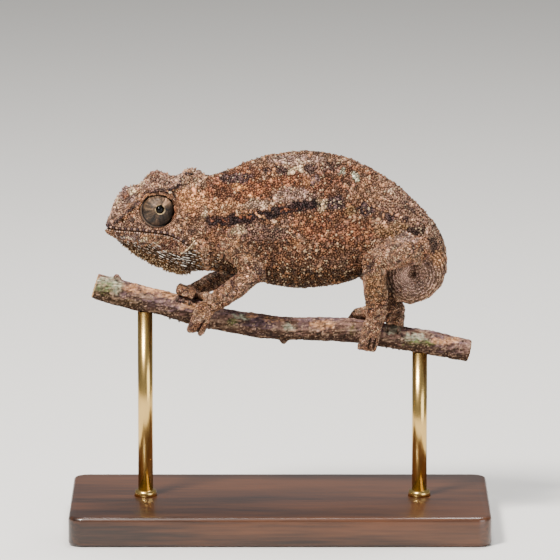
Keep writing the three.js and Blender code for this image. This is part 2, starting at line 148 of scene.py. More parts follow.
# A swell of height 1 at a distance from a line, that wide to each side.
def swell(distance, at, width):
    return np.exp(-((distance - at) / width) ** 2)


# The numbers that one key gives for each of Blender's items, one row an item.
def numbersOf(items, key, width, kind=float):
    values = np.empty(width * len(items), kind)
    items.foreach_get(key, values)
    return values.reshape(-1, width)


def pointsOf(mesh):
    return numbersOf(mesh.vertices, "co", 3) / mm


def normalsOf(mesh):
    return numbersOf(mesh.vertex_normals, "vector", 3)


def edgesOf(mesh):
    return numbersOf(mesh.edges, "vertices", 2, np.int64)


def movePoints(mesh, points):
    mesh.vertices.foreach_set("co", (points * mm).ravel())
    mesh.update()


def paint(mesh, colours):
    layer = mesh.color_attributes.new("marking", "FLOAT_COLOR", "POINT")
    layer.data.foreach_set("color", np.column_stack([colours, np.ones(len(colours))]).ravel())


# A mesh made of a bmesh, which is used up.
def meshOf(name, form):
    mesh = bpy.data.meshes.new(name)
    form.to_mesh(mesh)
    form.free()
    return mesh


def placed(name, data):
    thing = bpy.data.objects.new(name, data)
    bpy.context.scene.collection.objects.link(thing)
    return thing


def newPiece(name, mesh, material, replaced=()):
    piece = placed(name, mesh)
    mesh.materials.clear()
    mesh.materials.append(material)
    mesh.shade_smooth()
    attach(piece, "root")
    if replaced:
        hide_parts(*replaced)
    return piece


# The named CAD nodes as one mesh, each pushed out by a distance, with each face's node.
def copied(names, grow=0.0):
    whole = bmesh.new()
    owners = []
    for name in names:
        part = bmesh.new()
        part.from_mesh(nodes[name].data)
        bmesh.ops.remove_doubles(part, verts=part.verts, dist=0.001 * mm)
        part.normal_update()
        pushes = [vert.normal * grow * mm * min(vert.calc_shell_factor(), 2) for vert in part.verts]
        for vert, push in zip(part.verts, pushes):
            vert.co += push
        owners += [name] * len(part.faces)
        mesh = meshOf("copy", part)
        whole.from_mesh(mesh)
        bpy.data.meshes.remove(mesh)
    return whole, owners


# A bmesh of overlapping closed forms made one even skin.
def fused(form, voxel):
    carrier = placed("carrier", meshOf("fused", form))
    remesh = carrier.modifiers.new("remesh", "REMESH")
    remesh.mode = "VOXEL"
    remesh.voxel_size = voxel * mm
    graph = bpy.context.evaluated_depsgraph_get()
    result = bpy.data.meshes.new_from_object(carrier.evaluated_get(graph))
    bpy.data.objects.remove(carrier)
    return result


# Draws every value towards the mean of its neighbours', by one share or its own, time after time.
def relaxed(values, edges, share, rounds):
    share = np.broadcast_to(share, len(values))[:, None]
    ends = np.concatenate([edges, edges[:, ::-1]])
    count = np.maximum(np.bincount(ends[:, 0], minlength=len(values)), 1)
    for _ in range(rounds):
        sums = [np.bincount(ends[:, 0], column[ends[:, 1]], len(values)) for column in values.T]
        mean = np.column_stack(sums) / count[:, None]
        values = values + (mean - values) * share
    return values


# The camera sees the flank square on, from a little above.
camera = {"target": (0, 0, 50), "elevation": 10, "distance": 1400, "width": 112, "sensor": 36,
          "near": 10, "far": 20000}
elevation = math.radians(camera["elevation"])
back = Vector((0, -math.cos(elevation), math.sin(elevation)))
lens = bpy.data.cameras.new("camera")
lens.sensor_width = camera["sensor"]
lens.lens = camera["sensor"] * camera["distance"] / camera["width"]
lens.clip_start = camera["near"] * mm
lens.clip_end = camera["far"] * mm
cameraObject = placed("camera", lens)
cameraObject.location = (Vector(camera["target"]) + back * camera["distance"]) * mm
cameraObject.rotation_euler = back.to_track_quat("Z", "Y").to_euler()
bpy.context.scene.camera = cameraObject

lights = {
    "key": {"place": (-260, -340, 560), "size": 140, "watts": 10.5, "tint": (1, 0.97, 0.93)},
    "fill": {"place": (460, -420, 160), "size": 420, "watts": 2.6, "tint": (0.93, 0.96, 1)},
    "top": {"place": (60, 200, 620), "size": 260, "watts": 4.5, "tint": (1, 1, 1)},
}
for name, made in lights.items():
    lamp = bpy.data.lights.new(name, "AREA")
    lamp.size = made["size"] * mm
    lamp.energy = made["watts"]
    lamp.color = made["tint"]
    lampObject = placed(name, lamp)
    lampObject.location = Vector(made["place"]) * mm
    aim = Vector(made["place"]) - Vector(camera["target"])
    lampObject.rotation_euler = aim.to_track_quat("Z", "Y").to_euler()

studio = {"colour": (0.86, 0.88, 0.9, 1), "strength": 0.28}
world = bpy.data.worlds.new("studio")
world.use_nodes = True
background = world.node_tree.nodes["Background"]
background.inputs["Color"].default_value = studio["colour"]
background.inputs["Strength"].default_value = studio["strength"]
bpy.context.scene.world = world
print("camera and lights")


def newMaterial(name, roughness, specular, metallic=0.0, coat=0.0, colour=(0.8, 0.8, 0.8)):
    material = bpy.data.materials.new(name)
    material.use_nodes = True
    surface = material.node_tree.nodes["Principled BSDF"]
    surface.inputs["Roughness"].default_value = roughness
    surface.inputs["Specular IOR Level"].default_value = specular
    surface.inputs["Metallic"].default_value = metallic
    surface.inputs["Coat Weight"].default_value = coat
    surface.inputs["Base Color"].default_value = (*colour, 1)
    return material, material.node_tree, surface


def addNode(tree, kind, inputs=None, **settings):
    node = tree.nodes.new(kind)
    for key, value in settings.items():
        setattr(node, key, value)
    for key, value in (inputs or {}).items():
        if hasattr(value, "is_linked"):
            tree.links.new(value, node.inputs[key])
        else:
            node.inputs[key].default_value = value
    return node


# Fine noise on Object coordinates, as a texture node. The size is that of a grain.
def fineNoise(tree, size, detail=3.0, stretch=(1, 1, 1)):
    place = addNode(tree, "ShaderNodeTexCoord")
    scale = [share / (size * mm) for share in stretch]
    mapping = addNode(tree, "ShaderNodeMapping", {"Vector": place.outputs["Object"], "Scale": scale})
    inputs = {"Vector": mapping.outputs["Vector"], "Scale": 1.0, "Detail": detail}
    return addNode(tree, "ShaderNodeTexNoise", inputs)


# How far the fine grain darkens and lightens a marking.
grainTone = {"From Min": 0.3, "From Max": 0.7, "To Min": 0.82, "To Max": 1.16}


# A material whose colour is the piece's own marking, with a fine grain in colour and relief.
def markedMaterial(name, roughness, specular, grain, relief):
    material, tree, surface = newMaterial(name, roughness, specular)
    marking = addNode(tree, "ShaderNodeAttribute", attribute_name="marking")
    noise = fineNoise(tree, grain)
    grainLight = addNode(tree, "ShaderNodeMapRange", {"Value": noise.outputs["Fac"], **grainTone})
    tinted = addNode(tree, "ShaderNodeVectorMath", operation="MULTIPLY")
    tree.links.new(marking.outputs["Color"], tinted.inputs[0])
    tree.links.new(grainLight.outputs["Result"], tinted.inputs[1])
    tree.links.new(tinted.outputs["Vector"], surface.inputs["Base Color"])
    bump = {"Height": noise.outputs["Fac"], "Distance": relief * mm, "Strength": 0.6}
    bumpNode = addNode(tree, "ShaderNodeBump", bump)
    tree.links.new(bumpNode.outputs["Normal"], surface.inputs["Normal"])
    return material


# Roughness, specular, and the grain's size and relief.
skinMaterial = markedMaterial("skin", 0.8, 0.1, 0.18, 0.05)
scaleMaterial = markedMaterial("scales", 0.5, 0.2, 0.12, 0.02)
turretMaterial = markedMaterial("turret", 0.45, 0.3, 0.12, 0.02)
barkMaterial = markedMaterial("bark", 0.85, 0.15, 0.22, 0.2)
clawMaterial = markedMaterial("claw", 0.35, 0.5, 0.2, 0.01)

floor = {"size": 6000, "colour": shade(226, 223, 218)}
form = bmesh.new()
bmesh.ops.create_grid(form, x_segments=1, y_segments=1, size=floor["size"] / 2 * mm)
floorObject = placed("floor", meshOf("floor", form))
floorObject.data.materials.append(newMaterial("floor", 0.85, 0.2, colour=floor["colour"])[0])
print("materials and floor")


# Every part of the flesh is of one of these kinds.
kinds = ["trunk", "neck", "head", "casque", "jaw", "limb", "toes", "tail"]
body = ("trunk", "neck", "tail")
skull = ("head", "casque", "jaw")
legs = ("limb", "toes")


def kindOf(name):
    if "toes" in name:
        return kinds.index("toes")
    if name.startswith("tail"):
        return kinds.index("tail")
    if name == "lower_jaw":
        return kinds.index("jaw")
    return kinds.index(name) if name in kinds else kinds.index("limb")


def isKind(kind, *names):
    return np.isin(kind, [kinds.index(name) for name in names])


# One kind for each of so many points.
def allOf(name, count):
    return np.full(count, kinds.index(name))


# The value that each point's kind has in a dictionary.
def byKind(values, kind):
    return np.array([values[name] for name in kinds])[kind]


# Heights of markings and folds are taken across the camera's own slanting view of the flank.
def sideView(points):
    tilt = math.radians(camera["elevation"])
    middle = camera["target"][2]
    height = middle + (points[:, 2] - middle) * math.cos(tilt) - np.abs(points[:, 1]) * math.sin(tilt)
    return np.column_stack([points[:, 0], height])


# Lines of the side view, from the snout backwards.
mouth = [(-34.9, 60.4), (-32.6, 60), (-30, 59.8), (-27.5, 59.6), (-24.1, 59.25), (-22.5, 59),
         (-20.6, 58.25), (-19.4, 57.5), (-18.5, 56.9)]
mouthCorner = [(-19.6, 55.3), (-18.7, 55.9), (-17.9, 56.7), (-16.9, 57.9)]
crest = [(-32.7, 61.9), (-31.3, 63), (-30.1, 64.1), (-28.8, 65.4), (-27.6, 66.7), (-26.4, 67.8),
         (-25, 68.4), (-23.6, 68.5), (-22.4, 68.2), (-21, 68.7), (-19.9, 69.9), (-18.8, 71.2), (-17.6, 72)]
throatTop = [(-35, 58.8), (-32.5, 58), (-30, 57.6), (-28, 57), (-25.6, 56.5), (-23.75, 56), (-21.25, 55.25),
             (-20, 55), (-19.2, 55.7), (-17.5, 56.2), (-15.4, 55.4)]
throatRows = {"middle": -20, "slope": 0.36, "bend": 0.0225, "pitch": 0.47, "step": 0.95,
              "front": -34, "rear": -13, "lowest": 44, "highest": 61}
throatEdge = {"x": -22, "z": 54.3, "slope": 0.42, "depth": 2.4}
nostril = {"at": (-31.3, 61.9), "radius": 0.36}
tailCoil = {"centre": (26.4, 51.4), "top": 56, "rowPitch": 0.62, "rowsFrom": 2.2, "pleats": 11,
            "pleatsTo": 3.6}
eye = {"middle": np.array([-25.2, 0, 64.0]), "tiltBack": 13, "tiltUp": 12, "margin": 3.46}


# A turret's own directions on the left flank, -1, or the right, 1: out of the head, up, and towards
# the snout.
def eyeDirections(flank):
    backwards = math.radians(eye["tiltBack"])
    upwards = math.radians(eye["tiltUp"])
    out = Vector((math.sin(backwards), flank * math.cos(backwards), 0)) * math.cos(upwards)
    out.z = math.sin(upwards)
    up = (Vector((0, 0, 1)) - out * out.z).normalized()
    fore = up.cross(out) * -flank
    return np.array(out), np.array(up), np.array(fore)


# How far points are out along a turret's axis, their spokes from it, and how long these are.
def fromAxis(points, flank):
    out = eyeDirections(flank)[0]
    gap = points - eye["middle"]
    reach = gap @ out
    spoke = gap - reach[:, None] * out
    return reach, spoke, np.linalg.norm(spoke, axis=1)


# How far points are from the nearer turret's axis.
def fromEyes(points):
    distances = []
    for flank in (-1, 1):
        reach, _, distance = fromAxis(points, flank)
        distances.append(np.where(reach > 0, distance, 1e9))
    return np.minimum(*distances)


# Which row of throat scales a point is in. Whole numbers are the crests of the rows.
def throatRow(side):
    across = side[:, 0] - throatRows["middle"]
    height = side[:, 1] + throatRows["slope"] * across - throatRows["bend"] * across ** 2
    return height / throatRows["pitch"]


# 1 on the ridged skin of the throat and 0 off it.
def throatShare(side, kind):
    below = -fromLine(side, throatTop)[1]
    return eased(below / 0.8 + 0.5) * isKind(kind, "jaw")


# 0 high on the throat and 1 along its lower edge.
def lowThroat(side):
    height = throatEdge["z"] - throatEdge["slope"] * (side[:, 0] - throatEdge["x"])
    return eased((height - side[:, 1]) / throatEdge["depth"])


# Whether points are on the coil, below the rest of the tail.
def onCoil(points, kind):
    return isKind(kind, "tail") & (points[:, 2] < tailCoil["top"])


# 1 on the crests of the coil's rows of scales and -1 between them.
def coilWave(radius):
    return np.cos(2 * np.pi * radius / tailCoil["rowPitch"])


# How far points are from the middle of the tail's coil, and the angle round it.
def coilPlace(points):
    gap = points[:, [0, 2]] - np.array(tailCoil["centre"])
    return np.linalg.norm(gap, axis=1), np.arctan2(gap[:, 1], gap[:, 0])


# 1 where the coil's scales lie in rows and 0 in the smooth middle of it.
def rowed(radius):
    return eased((radius - tailCoil["rowsFrom"]) / 1.2)


# 1 in the creases that run out to the right from the middle of the coil and 0 off them.
def pleats(points):
    radius, angle = coilPlace(points)
    wave = np.cos(angle * tailCoil["pleats"] + 1.5 * lumps(points, 2, 13)) ** 2
    onRight = eased(np.cos(angle - 0.1) * 1.4 + 0.35)
    return (1 - wave) ** 2 * eased((tailCoil["pleatsTo"] - radius) / 1.2) * onRight


# Creases that cross a limb in the side view, from one edge of it to the other.
creases = [
    [(-15.4, 46.2), (-12.4, 43.4)], [(-14.7, 46.8), (-11.7, 44)], [(-14, 47.4), (-11, 44.6)],
    [(-6.8, 53.6), (-3.6, 50.2)], [(-7.4, 52.8), (-4.4, 49.6)],
    [(16.9, 44.2), (21.9, 44.4)], [(16.9, 45), (21.9, 45.2)], [(16.9, 45.8), (21.9, 46)],
    [(15.8, 52), (20.8, 52.6)], [(15.9, 52.8), (20.9, 53.6)], [(16.2, 53.6), (20.8, 54.6)],
    [(-19.9, 45.6), (-17.2, 48)], [(-19.2, 45.2), (-16.5, 47.6)],
    [(21.4, 43.2), (25, 44)], [(21.4, 44), (25, 44.8)],
]
# The grooves between toes of one bundle.
grooves = [[(-15.1, 41.8), (-16.8, 39.2)], [(18.1, 38.4), (17.6, 36.4)], [(19.1, 38.2), (18.6, 36.4)]]
creaseWidth, grooveWidth = 0.17, 0.3


# 1 in the toes' grooves, less in a limb's creases and 0 off them.
def creased(side, kind):
    inCreases = np.max([swell(fromLine(side, line)[0], 0, creaseWidth) for line in creases], axis=0)
    inGrooves = np.max([swell(fromLine(side, line)[0], 0, grooveWidth) for line in grooves], axis=0)
    return inCreases * 0.6 * isKind(kind, "limb") + inGrooves * isKind(kind, "toes")


# The animal's colours, and the one that each kind starts from.
palette = pigments(
    brown=(148, 108, 82), greyTan=(164, 134, 112), pinkTan=(176, 146, 128), tan=(166, 130, 104),
    rust=(156, 106, 78), redBrown=(134, 94, 74), orange=(208, 156, 114), orangeTan=(204, 156, 118),
    ochre=(214, 168, 130), oliveTan=(158, 126, 92), cream=(224, 200, 168), greyCream=(190, 166, 146),
    palePatch=(216, 214, 190), pinkGrey=(176, 150, 138), grey=(150, 134, 124), lilac=(140, 122, 122),
    umber=(118, 86, 62), olive=(98, 68, 38), plum=(92, 72, 74), dark=(74, 55, 52), white=(238, 232, 222),
    throatDark=(108, 84, 60), throatEdge=(146, 108, 60),
)
baseColours = {"trunk": palette["brown"], "neck": palette["brown"], "head": palette["tan"],
               "casque": palette["greyTan"], "jaw": palette["tan"], "limb": palette["tan"],
               "toes": palette["tan"], "tail": palette["greyTan"]}

# Ovals of colour in the side view, each laid over the ones before it: the colour, the middle, the
# half lengths and the strength.
fields = {
    body: [
        ("greyTan", (4, 76), (26, 3.2), 0.5), ("pinkTan", (27, 66), (9, 8), 0.5),
        ("rust", (-10, 71), (6, 3), 0.6), ("rust", (-8.5, 67.8), (7, 2.4), 0.8),
        ("rust", (3, 69.4), (6, 1.8), 0.6), ("redBrown", (11, 69.4), (5.5, 3), 0.6),
        ("tan", (17.5, 68), (4, 3), 0.6), ("pinkGrey", (3, 74), (5.5, 1.0), 0.7),
        ("orangeTan", (-10, 64.2), (5, 1.8), 0.5), ("greyCream", (-4.4, 65), (3.4, 1.0), 0.7),
        ("pinkGrey", (3, 66.8), (4.6, 1.5), 0.7), ("redBrown", (-10.6, 66.8), (3, 1.3), 0.6),
        ("rust", (11, 60.4), (7.6, 3.4), 0.55), ("umber", (11, 62.4), (8, 1.6), 0.4),
        ("lilac", (-4.6, 59.4), (6, 1.8), 0.5), ("umber", (-4.6, 59.6), (6, 1.8), 0.45),
        # The umber and olive ovals low on the flank are partly the belly's own olive and partly painted shade
        # under the body.
        ("umber", (0, 54.6), (20, 3.4), 0.6), ("olive", (3, 49), (24, 3.4), 0.9),
        ("olive", (-12.4, 52), (3, 2.6), 0.7), ("oliveTan", (22, 60), (4, 1.6), 0.6),
        ("orange", (-8, 68.7), (1.6, 0.7), 0.9), ("orangeTan", (-5.6, 66.6), (1.2, 0.4), 0.7),
        ("orangeTan", (5.1, 69.4), (1.0, 0.6), 0.8), ("orange", (6.2, 62.4), (1.0, 0.6), 0.6),
        ("orange", (3.4, 57.8), (0.9, 0.5), 0.5), ("cream", (-8.4, 59.8), (1.8, 0.8), 0.5),
        ("plum", (-8.6, 70.4), (3.6, 1.0), 0.9), ("plum", (-11.4, 72.2), (1.1, 0.8), 0.7),
        ("plum", (-2.3, 71.9), (0.9, 0.6), 0.8), ("plum", (0.3, 72), (1.3, 0.7), 0.8),
        ("cream", (3.1, 72), (1.5, 0.7), 0.85), ("plum", (5.9, 72), (1.1, 1.0), 0.75),
        ("plum", (9.8, 72.6), (1.9, 1.2), 0.6), ("lilac", (7, 69.6), (1.0, 0.9), 0.7),
        ("palePatch", (12.4, 71.4), (0.8, 0.8), 0.6), ("palePatch", (15, 70.4), (0.9, 0.8), 0.95),
        ("greyCream", (21.8, 67.6), (0.9, 0.5), 0.8), ("oliveTan", (14.4, 64), (1.3, 0.9), 0.85),
        ("cream", (8.1, 64.9), (1.2, 0.9), 0.95), ("dark", (8, 65), (0.4, 0.35), 1.0),
        ("plum", (10.9, 65.3), (2, 1.4), 0.95), ("plum", (17.2, 64.1), (1.9, 1.25), 0.95),
        ("plum", (22, 62.6), (1.5, 1.1), 0.9), ("plum", (25, 61.8), (0.8, 0.6), 0.8),
        ("plum", (26.3, 63.8), (0.5, 0.4), 0.7), ("plum", (25, 65.2), (1.1, 0.6), 0.5),
        ("dark", (27.3, 59.9), (2.0, 1.1), 0.9), ("dark", (30.3, 57.1), (1.0, 1.6), 0.85),
        ("ochre", (31.3, 54.4), (1.5, 1.5), 0.75),
    ],
    ("head", "neck"): [
        ("cream", (-14.9, 63.3), (0.6, 1.1), 0.8), ("orangeTan", (-15.2, 66.4), (0.9, 1.3), 0.7),
    ],
    ("neck",): [
        ("redBrown", (-13.6, 69.8), (1.4, 2.0), 0.6),
    ],
    skull: [
        ("pinkGrey", (-25.4, 69.8), (6, 1.9), 0.4), ("pinkTan", (-29, 61.2), (5, 1.2), 0.6),
        ("lilac", (-31, 67), (2.2, 2.2), 0.55), ("pinkTan", (-32.4, 63.6), (2.4, 2.2), 0.8),
        ("redBrown", (-30, 62.2), (2.0, 1.6), 0.3), ("rust", (-30.6, 66.8), (0.5, 0.5), 0.8),
        ("cream", (-32.5, 65.5), (0.55, 0.55), 0.9), ("cream", (-29.6, 67.5), (1.0, 0.5), 0.7),
        ("cream", (-27.6, 69), (0.6, 0.6), 0.5), ("redBrown", (-24.8, 71.4), (2.2, 1.0), 0.6),
        ("orangeTan", (-18, 66), (2.6, 2.4), 0.85), ("rust", (-21.4, 63.2), (0.9, 1.4), 0.6),
        ("umber", (-18.6, 61.4), (3.2, 2.6), 0.25), ("redBrown", (-17.2, 63), (1.2, 1.2), 0.6),
        ("plum", (-19.4, 60.2), (0.8, 0.5), 0.6), ("plum", (-17.2, 59.4), (0.7, 0.7), 0.6),
        ("cream", (-21.6, 67.3), (0.4, 0.4), 0.9), ("pinkTan", (-16.8, 71.6), (1.2, 1.0), 0.8),
        # The second dark oval here, on the nostril, is painted shade in its hollow.
        ("dark", (-29.4, 61.8), (0.45, 0.45), 0.9), ("dark", (-31.3, 61.9), (0.5, 0.45), 1.0),
        ("plum", (-33.9, 61), (0.8, 0.6), 0.8), ("lilac", (-29, 58.6), (3, 0.7), 0.6),
        ("ochre", (-26.1, 58.9), (1.9, 0.35), 0.85), ("cream", (-29.9, 58.4), (0.8, 0.35), 0.9),
        ("cream", (-27, 57.9), (0.95, 0.4), 0.9), ("cream", (-24.5, 57.3), (0.6, 0.3), 0.9),
        ("plum", (-28.5, 58.2), (0.4, 0.3), 0.8), ("redBrown", (-21.9, 57), (2.0, 1.0), 0.8),
        ("plum", (-21, 56.6), (1.0, 0.4), 0.6),
    ],
    ("limb",): [
        ("umber", (-7.5, 55.2), (3.6, 4), 0.65), ("pinkGrey", (24.5, 58.6), (3.4, 1.3), 0.7),
        ("pinkTan", (22, 56), (4, 2.6), 0.35), ("oliveTan", (19.4, 48.6), (2.4, 3.2), 0.55),
        ("orangeTan", (-8.6, 57), (0.8, 0.5), 0.8), ("orangeTan", (-6.6, 54.4), (0.7, 0.5), 0.8),
        ("orangeTan", (-10, 55.4), (0.6, 0.5), 0.7),
    ],
    ("toes",): [
        ("pinkTan", (18, 39), (3, 4), 0.25),
    ],
}

# Lines of colour in the side view: where, the colour, the half width, the strength and the line.
# The first is the dark stripe along the flank.
stripe = [(-15, 61.9), (-12, 61.6), (-10, 61.7), (-6, 62.2), (-2.5, 63), (1, 64.2), (4, 64.8), (6.4, 64.9)]
stripeWidth = 1.0
streaks = [
    (body, "dark", stripeWidth, 1.0, stripe),
    (body, "rust", 0.22, 0.6, [(-13.4, 62), (-10.4, 61.9)]),
    (body, "rust", 0.22, 0.6, [(-8.4, 62.5), (-5.8, 62.3)]),
    (body, "ochre", 0.2, 0.8, [(-5, 63.3), (-3, 62.6)]),
    (body, "rust", 0.22, 0.6, [(0.4, 64.1), (3, 64.3)]),
    (skull, "orangeTan", 0.24, 0.6,
     [(-31.6, 61.7), (-30.2, 62.8), (-28.9, 64.1), (-27.8, 65.3), (-26.8, 66.4), (-25.6, 67)]),
    # The plum line and the dark line after it run under the crest over the eye: painted shade beneath the
    # ridge.
    (skull, "plum", 0.28, 0.85,
     [(-32.7, 61.6), (-31.3, 62.6), (-30.1, 63.6), (-28.8, 64.8), (-27.7, 66), (-26.7, 67), (-25.3, 67.6),
      (-24, 67.8), (-22.7, 67.5)]),
    (skull, "dark", 0.3, 1.0, [(-22.9, 67.4), (-21.3, 67.9), (-20.3, 69), (-19.2, 70.3), (-18.1, 71.2)]),
    (skull, "dark", 0.36, 0.9, [(-21.2, 67.7), (-20.9, 66)]),
    (skull, "cream", 0.3, 0.9, mouthCorner),
    (skull, "dark", 0.12, 0.8, mouth),
    (("head",), "cream", 0.22, 0.5, [(-19.6, 68.4), (-17.4, 69.4)]),
]
# How lumps make the markings' edges wander: the size of a lump and how far it moves them.
wander = [(1.3, 0.5), (0.5, 0.38)]


# The colour of the animal at each point, in linear light.
def markings(points, kind):
    side = sideView(points)
    seeds = iter(range(1, 5))
    for axis in (0, 1):
        side[:, axis] += sum(push * lumps(points, size, next(seeds)) for size, push in wander)
    patches = lumps(points, 2.0, 5)
    small = lumps(points, 0.9, 15)
    legPatches = lumps(points, 1.5, 8)
    onLegs = isKind(kind, *legs)
    colours = layered(
        byKind(baseColours, kind), palette,
        (eased(patches * 2.4 - 0.4) * 0.4, "redBrown"),
        (eased(-patches * 2.4 - 0.4) * 0.25, "pinkGrey"),
        (onLegs * eased(legPatches * 3) * 0.7, "redBrown"),
        (onLegs * eased(-legPatches * 3) * 0.5, "pinkTan"),
        (eased(small * 4 - 1.2) * 0.4, "greyCream"),
        (eased(-small * 4 - 1.2) * (0.5 + 0.25 * onLegs), "plum"))
    for where, ovals in fields.items():
        for name, middle, size, strength in ovals:
            share = inOval(side, middle, size, 1.15, 0.3) * strength * isKind(kind, *where)
            colours = layered(colours, palette, (share, name))
    for where, name, width, strength, line in streaks:
        share = eased((1.3 * width - fromLine(side, line)[0]) / (0.6 * width)) * strength
        broken = eased(lumps(points, 0.9, 6) * 2 + (2.2 if where == skull else 1.7))
        colours = layered(colours, palette, (share * broken * isKind(kind, *where), name))

    # The line of the back, painted shade in the creases, the throat, and the tail's coil, made lighter
    # partly by painted light, with painted shade in its furrows, hollow and pleats.
    onRidge = isKind(kind, *body) * (points[:, 2] > 58)
    throat = throatShare(side, kind)
    throatGlow = np.maximum(0.7 * lowThroat(side), 0.6 * eased((side[:, 0] + 17.5) / 2))
    radius, _ = coilPlace(points)
    coil = onCoil(points, kind)
    colours = layered(
        colours, palette,
        (onRidge * eased((1.3 - np.abs(points[:, 1])) / 0.7) * 0.6, "umber"),
        # Painted shade in the limbs' creases and the toes' grooves.
        (0.8 * creased(sideView(points), kind), "dark"),
        (throat, "throatDark"),
        (throat * throatGlow, "throatEdge"),
        (coil * eased((5.6 - radius) / 2.0) * 0.75, "pinkGrey"))
    # The coil is made lighter, most near its middle: partly its own paler skin, partly painted light against
    # the shade the thigh casts on it.
    colours = colours * (1 + coil * (0.8 + 1.3 * eased((4.6 - radius) / 2.5)))[:, None]
    colours = layered(
        colours, palette,
        # Painted shade in the furrows between the coil's rows, in its filled hollow middle and in its pleats.
        (coil * rowed(radius) * eased(-coilWave(radius) * 1.5) * 0.75, "umber"),
        (coil * eased((1.1 - radius) / 0.4) * 0.8, "umber"),
        (coil * pleats(points) * 0.9, "dark"))
    lighter = 0.16 * isKind(kind, "head", *legs) + 0.4 * isKind(kind, "casque")
    tone = 0.3 * lumps(points, 0.7, 9) + 0.14 * lumps(points, 1.8, 10)
    return colours * ((1 + lighter) * np.exp(tone))[:, None]


skin = {
    "voxel": 0.29,
    "bridge": 0.2,    # how far the solids are grown so that they meet
    "rounds": 40,    # of smoothing
    # Painted shade: the skin's marking is darkened by this share, for the shade between the scales.
    "light": 0.26,    # how dark it is between the scales
    "ragged": [(1.2, 1.1), (0.45, 0.8)],    # lumps that shift where one kind's marking ends
    # For each kind, how soft its form gets and how deep it lies under the solids.
    "softness": {"trunk": 0.5, "neck": 0.5, "head": 0.2, "casque": 0.12, "jaw": 0.3, "limb": 0.25,
                 "toes": 0.05, "tail": 0.25},
    "depth": {"trunk": 0.2, "neck": 0.2, "head": 0.2, "casque": 0.15, "jaw": 0.26, "limb": 0.2,
              "toes": 0.14, "tail": 0.18},
}
keptApart = ("eye", "claw", "perch", "stand")
flesh = sorted(name for name in nodes if not any(word in name for word in keptApart))
claws = sorted(name for name in nodes if "claw" in name)

trueForm, owners = copied(flesh)
trueTree = BVHTree.FromBMesh(trueForm)
ownerKinds = np.array([kindOf(name) for name in owners])
grownForm, _ = copied(flesh, skin["bridge"])
skinMesh = fused(grownForm, skin["voxel"])
edges = edgesOf(skinMesh)
points = pointsOf(skinMesh)


# Each point's signed distance out of the CAD solids and the kind of the nearest one.
def fromSolids(points):
    distances = np.empty(len(points))
    kind = np.empty(len(points), int)
    for index, point in enumerate(points):
        place, normal, face, distance = trueTree.find_nearest(Vector(point) * mm)
        outside = (Vector(point) * mm - place).dot(normal) > 0
        distances[index] = (distance if outside else -distance) / mm
        kind[index] = ownerKinds[face]
    return distances, kind


# One value a point, evened out over its neighbours.
def evened(values, rounds):
    return relaxed(values[:, None], edges, 0.5, rounds)[:, 0]


kind = fromSolids(points)[1]
softness = evened(byKind(skin["softness"], kind), 12)
depth = evened(byKind(skin["depth"], kind), 12)
points = relaxed(points, edges, softness, skin["rounds"])
movePoints(skinMesh, points)
gaps = evened(np.clip(fromSolids(points)[0], -0.6, 0.6), 20)
points -= normalsOf(skinMesh) * (gaps + depth)[:, None]
points = relaxed(points, edges, 0.3, 2)
movePoints(skinMesh, points)

# Markings run over from one node to the next along a ragged border.
(broad, broadPush), (fine, finePush) = skin["ragged"]
ragged = [broadPush * lumps(points, broad, seed) + finePush * lumps(points, fine, seed + 3)
          for seed in (61, 62, 63)]
markingKind = fromSolids(points + np.column_stack(ragged))[1]
print("skin of", len(points), "points")

# The unwrap is of the plain form, before the folds.
skinPiece = newPiece("skin", skinMesh, skinMaterial, flesh)
bpy.context.view_layer.objects.active = skinPiece
skinPiece.select_set(True)
bpy.ops.object.mode_set(mode="EDIT")
bpy.ops.mesh.select_all(action="SELECT")
bpy.ops.uv.smart_project(angle_limit=math.radians(66), island_margin=0.002)
bpy.ops.object.mode_set(mode="OBJECT")
skinMesh.uv_layers[0].name = "OFBake"
print("unwrapped")

# Folds of the skull beside lines of the side view: the line, how far off it, the width and the
# height. Below them are the heights of all the other folds.
skullFolds = [
    (mouth, 0, 0.22, -0.34), (mouth, 0.5, 0.25, 0.12), (mouthCorner, 0, 0.25, 0.18), (crest, 0, 0.4, 0.26),
]
fold = {
    "broad": 0.12, "fine": 0.1, "onToes": 0.3, "crown": 0.22, "crownFrom": 65.5, "underCrest": 0.24,
    "lid": 0.30, "nostril": 0.5, "nostrilRim": 0.14, "throatRow": 0.07, "coilRow": 0.04, "pleat": 0.3,
    "coilEnd": 0.6, "crease": 0.25, "groove": 0.5,
}
lid = {"width": 1.2, "gap": 0.06, "pull": 0.9}


# How far the folds of the skin stand out at each point.
def folds(points, kind):
    side = sideView(points)
    onSkull = isKind(kind, *skull)
    relief = fold["broad"] * lumps(points, 1.7, 11) + fold["fine"] * lumps(points, 0.8, 12)
    relief *= np.where(isKind(kind, "toes"), fold["onToes"], 1.0)
    relief += onSkull * (side[:, 1] > fold["crownFrom"]) * fold["crown"] * lumps(points, 0.8, 14)
    for line, off, width, height in skullFolds:
        relief += onSkull * height * swell(fromLine(side, line)[0], off, width)
    distance, above = fromLine(side, crest)
    relief -= onSkull * (above < 0) * fold["underCrest"] * swell(distance, 0.75, 0.3)
    relief += fold["lid"] * swell(fromEyes(points), eye["margin"] + 0.75, 0.4)
    distance = np.linalg.norm(side - nostril["at"], axis=1)
    relief -= onSkull * fold["nostril"] * swell(distance, 0, nostril["radius"])
    relief += onSkull * fold["nostrilRim"] * swell(distance, 0.6, 0.22)

    relief += throatShare(side, kind) * fold["throatRow"] * np.cos(2 * np.pi * throatRow(side))
    radius, _ = coilPlace(points)
    coil = onCoil(points, kind)
    relief += coil * rowed(radius) * fold["coilRow"] * coilWave(radius)
    relief -= coil * fold["pleat"] * pleats(points)
    relief += coil * fold["coilEnd"] * eased((1.5 - radius) / 0.8)
    depth = np.where(isKind(kind, "toes"), fold["groove"], fold["crease"])
    return relief - depth * creased(side, kind)


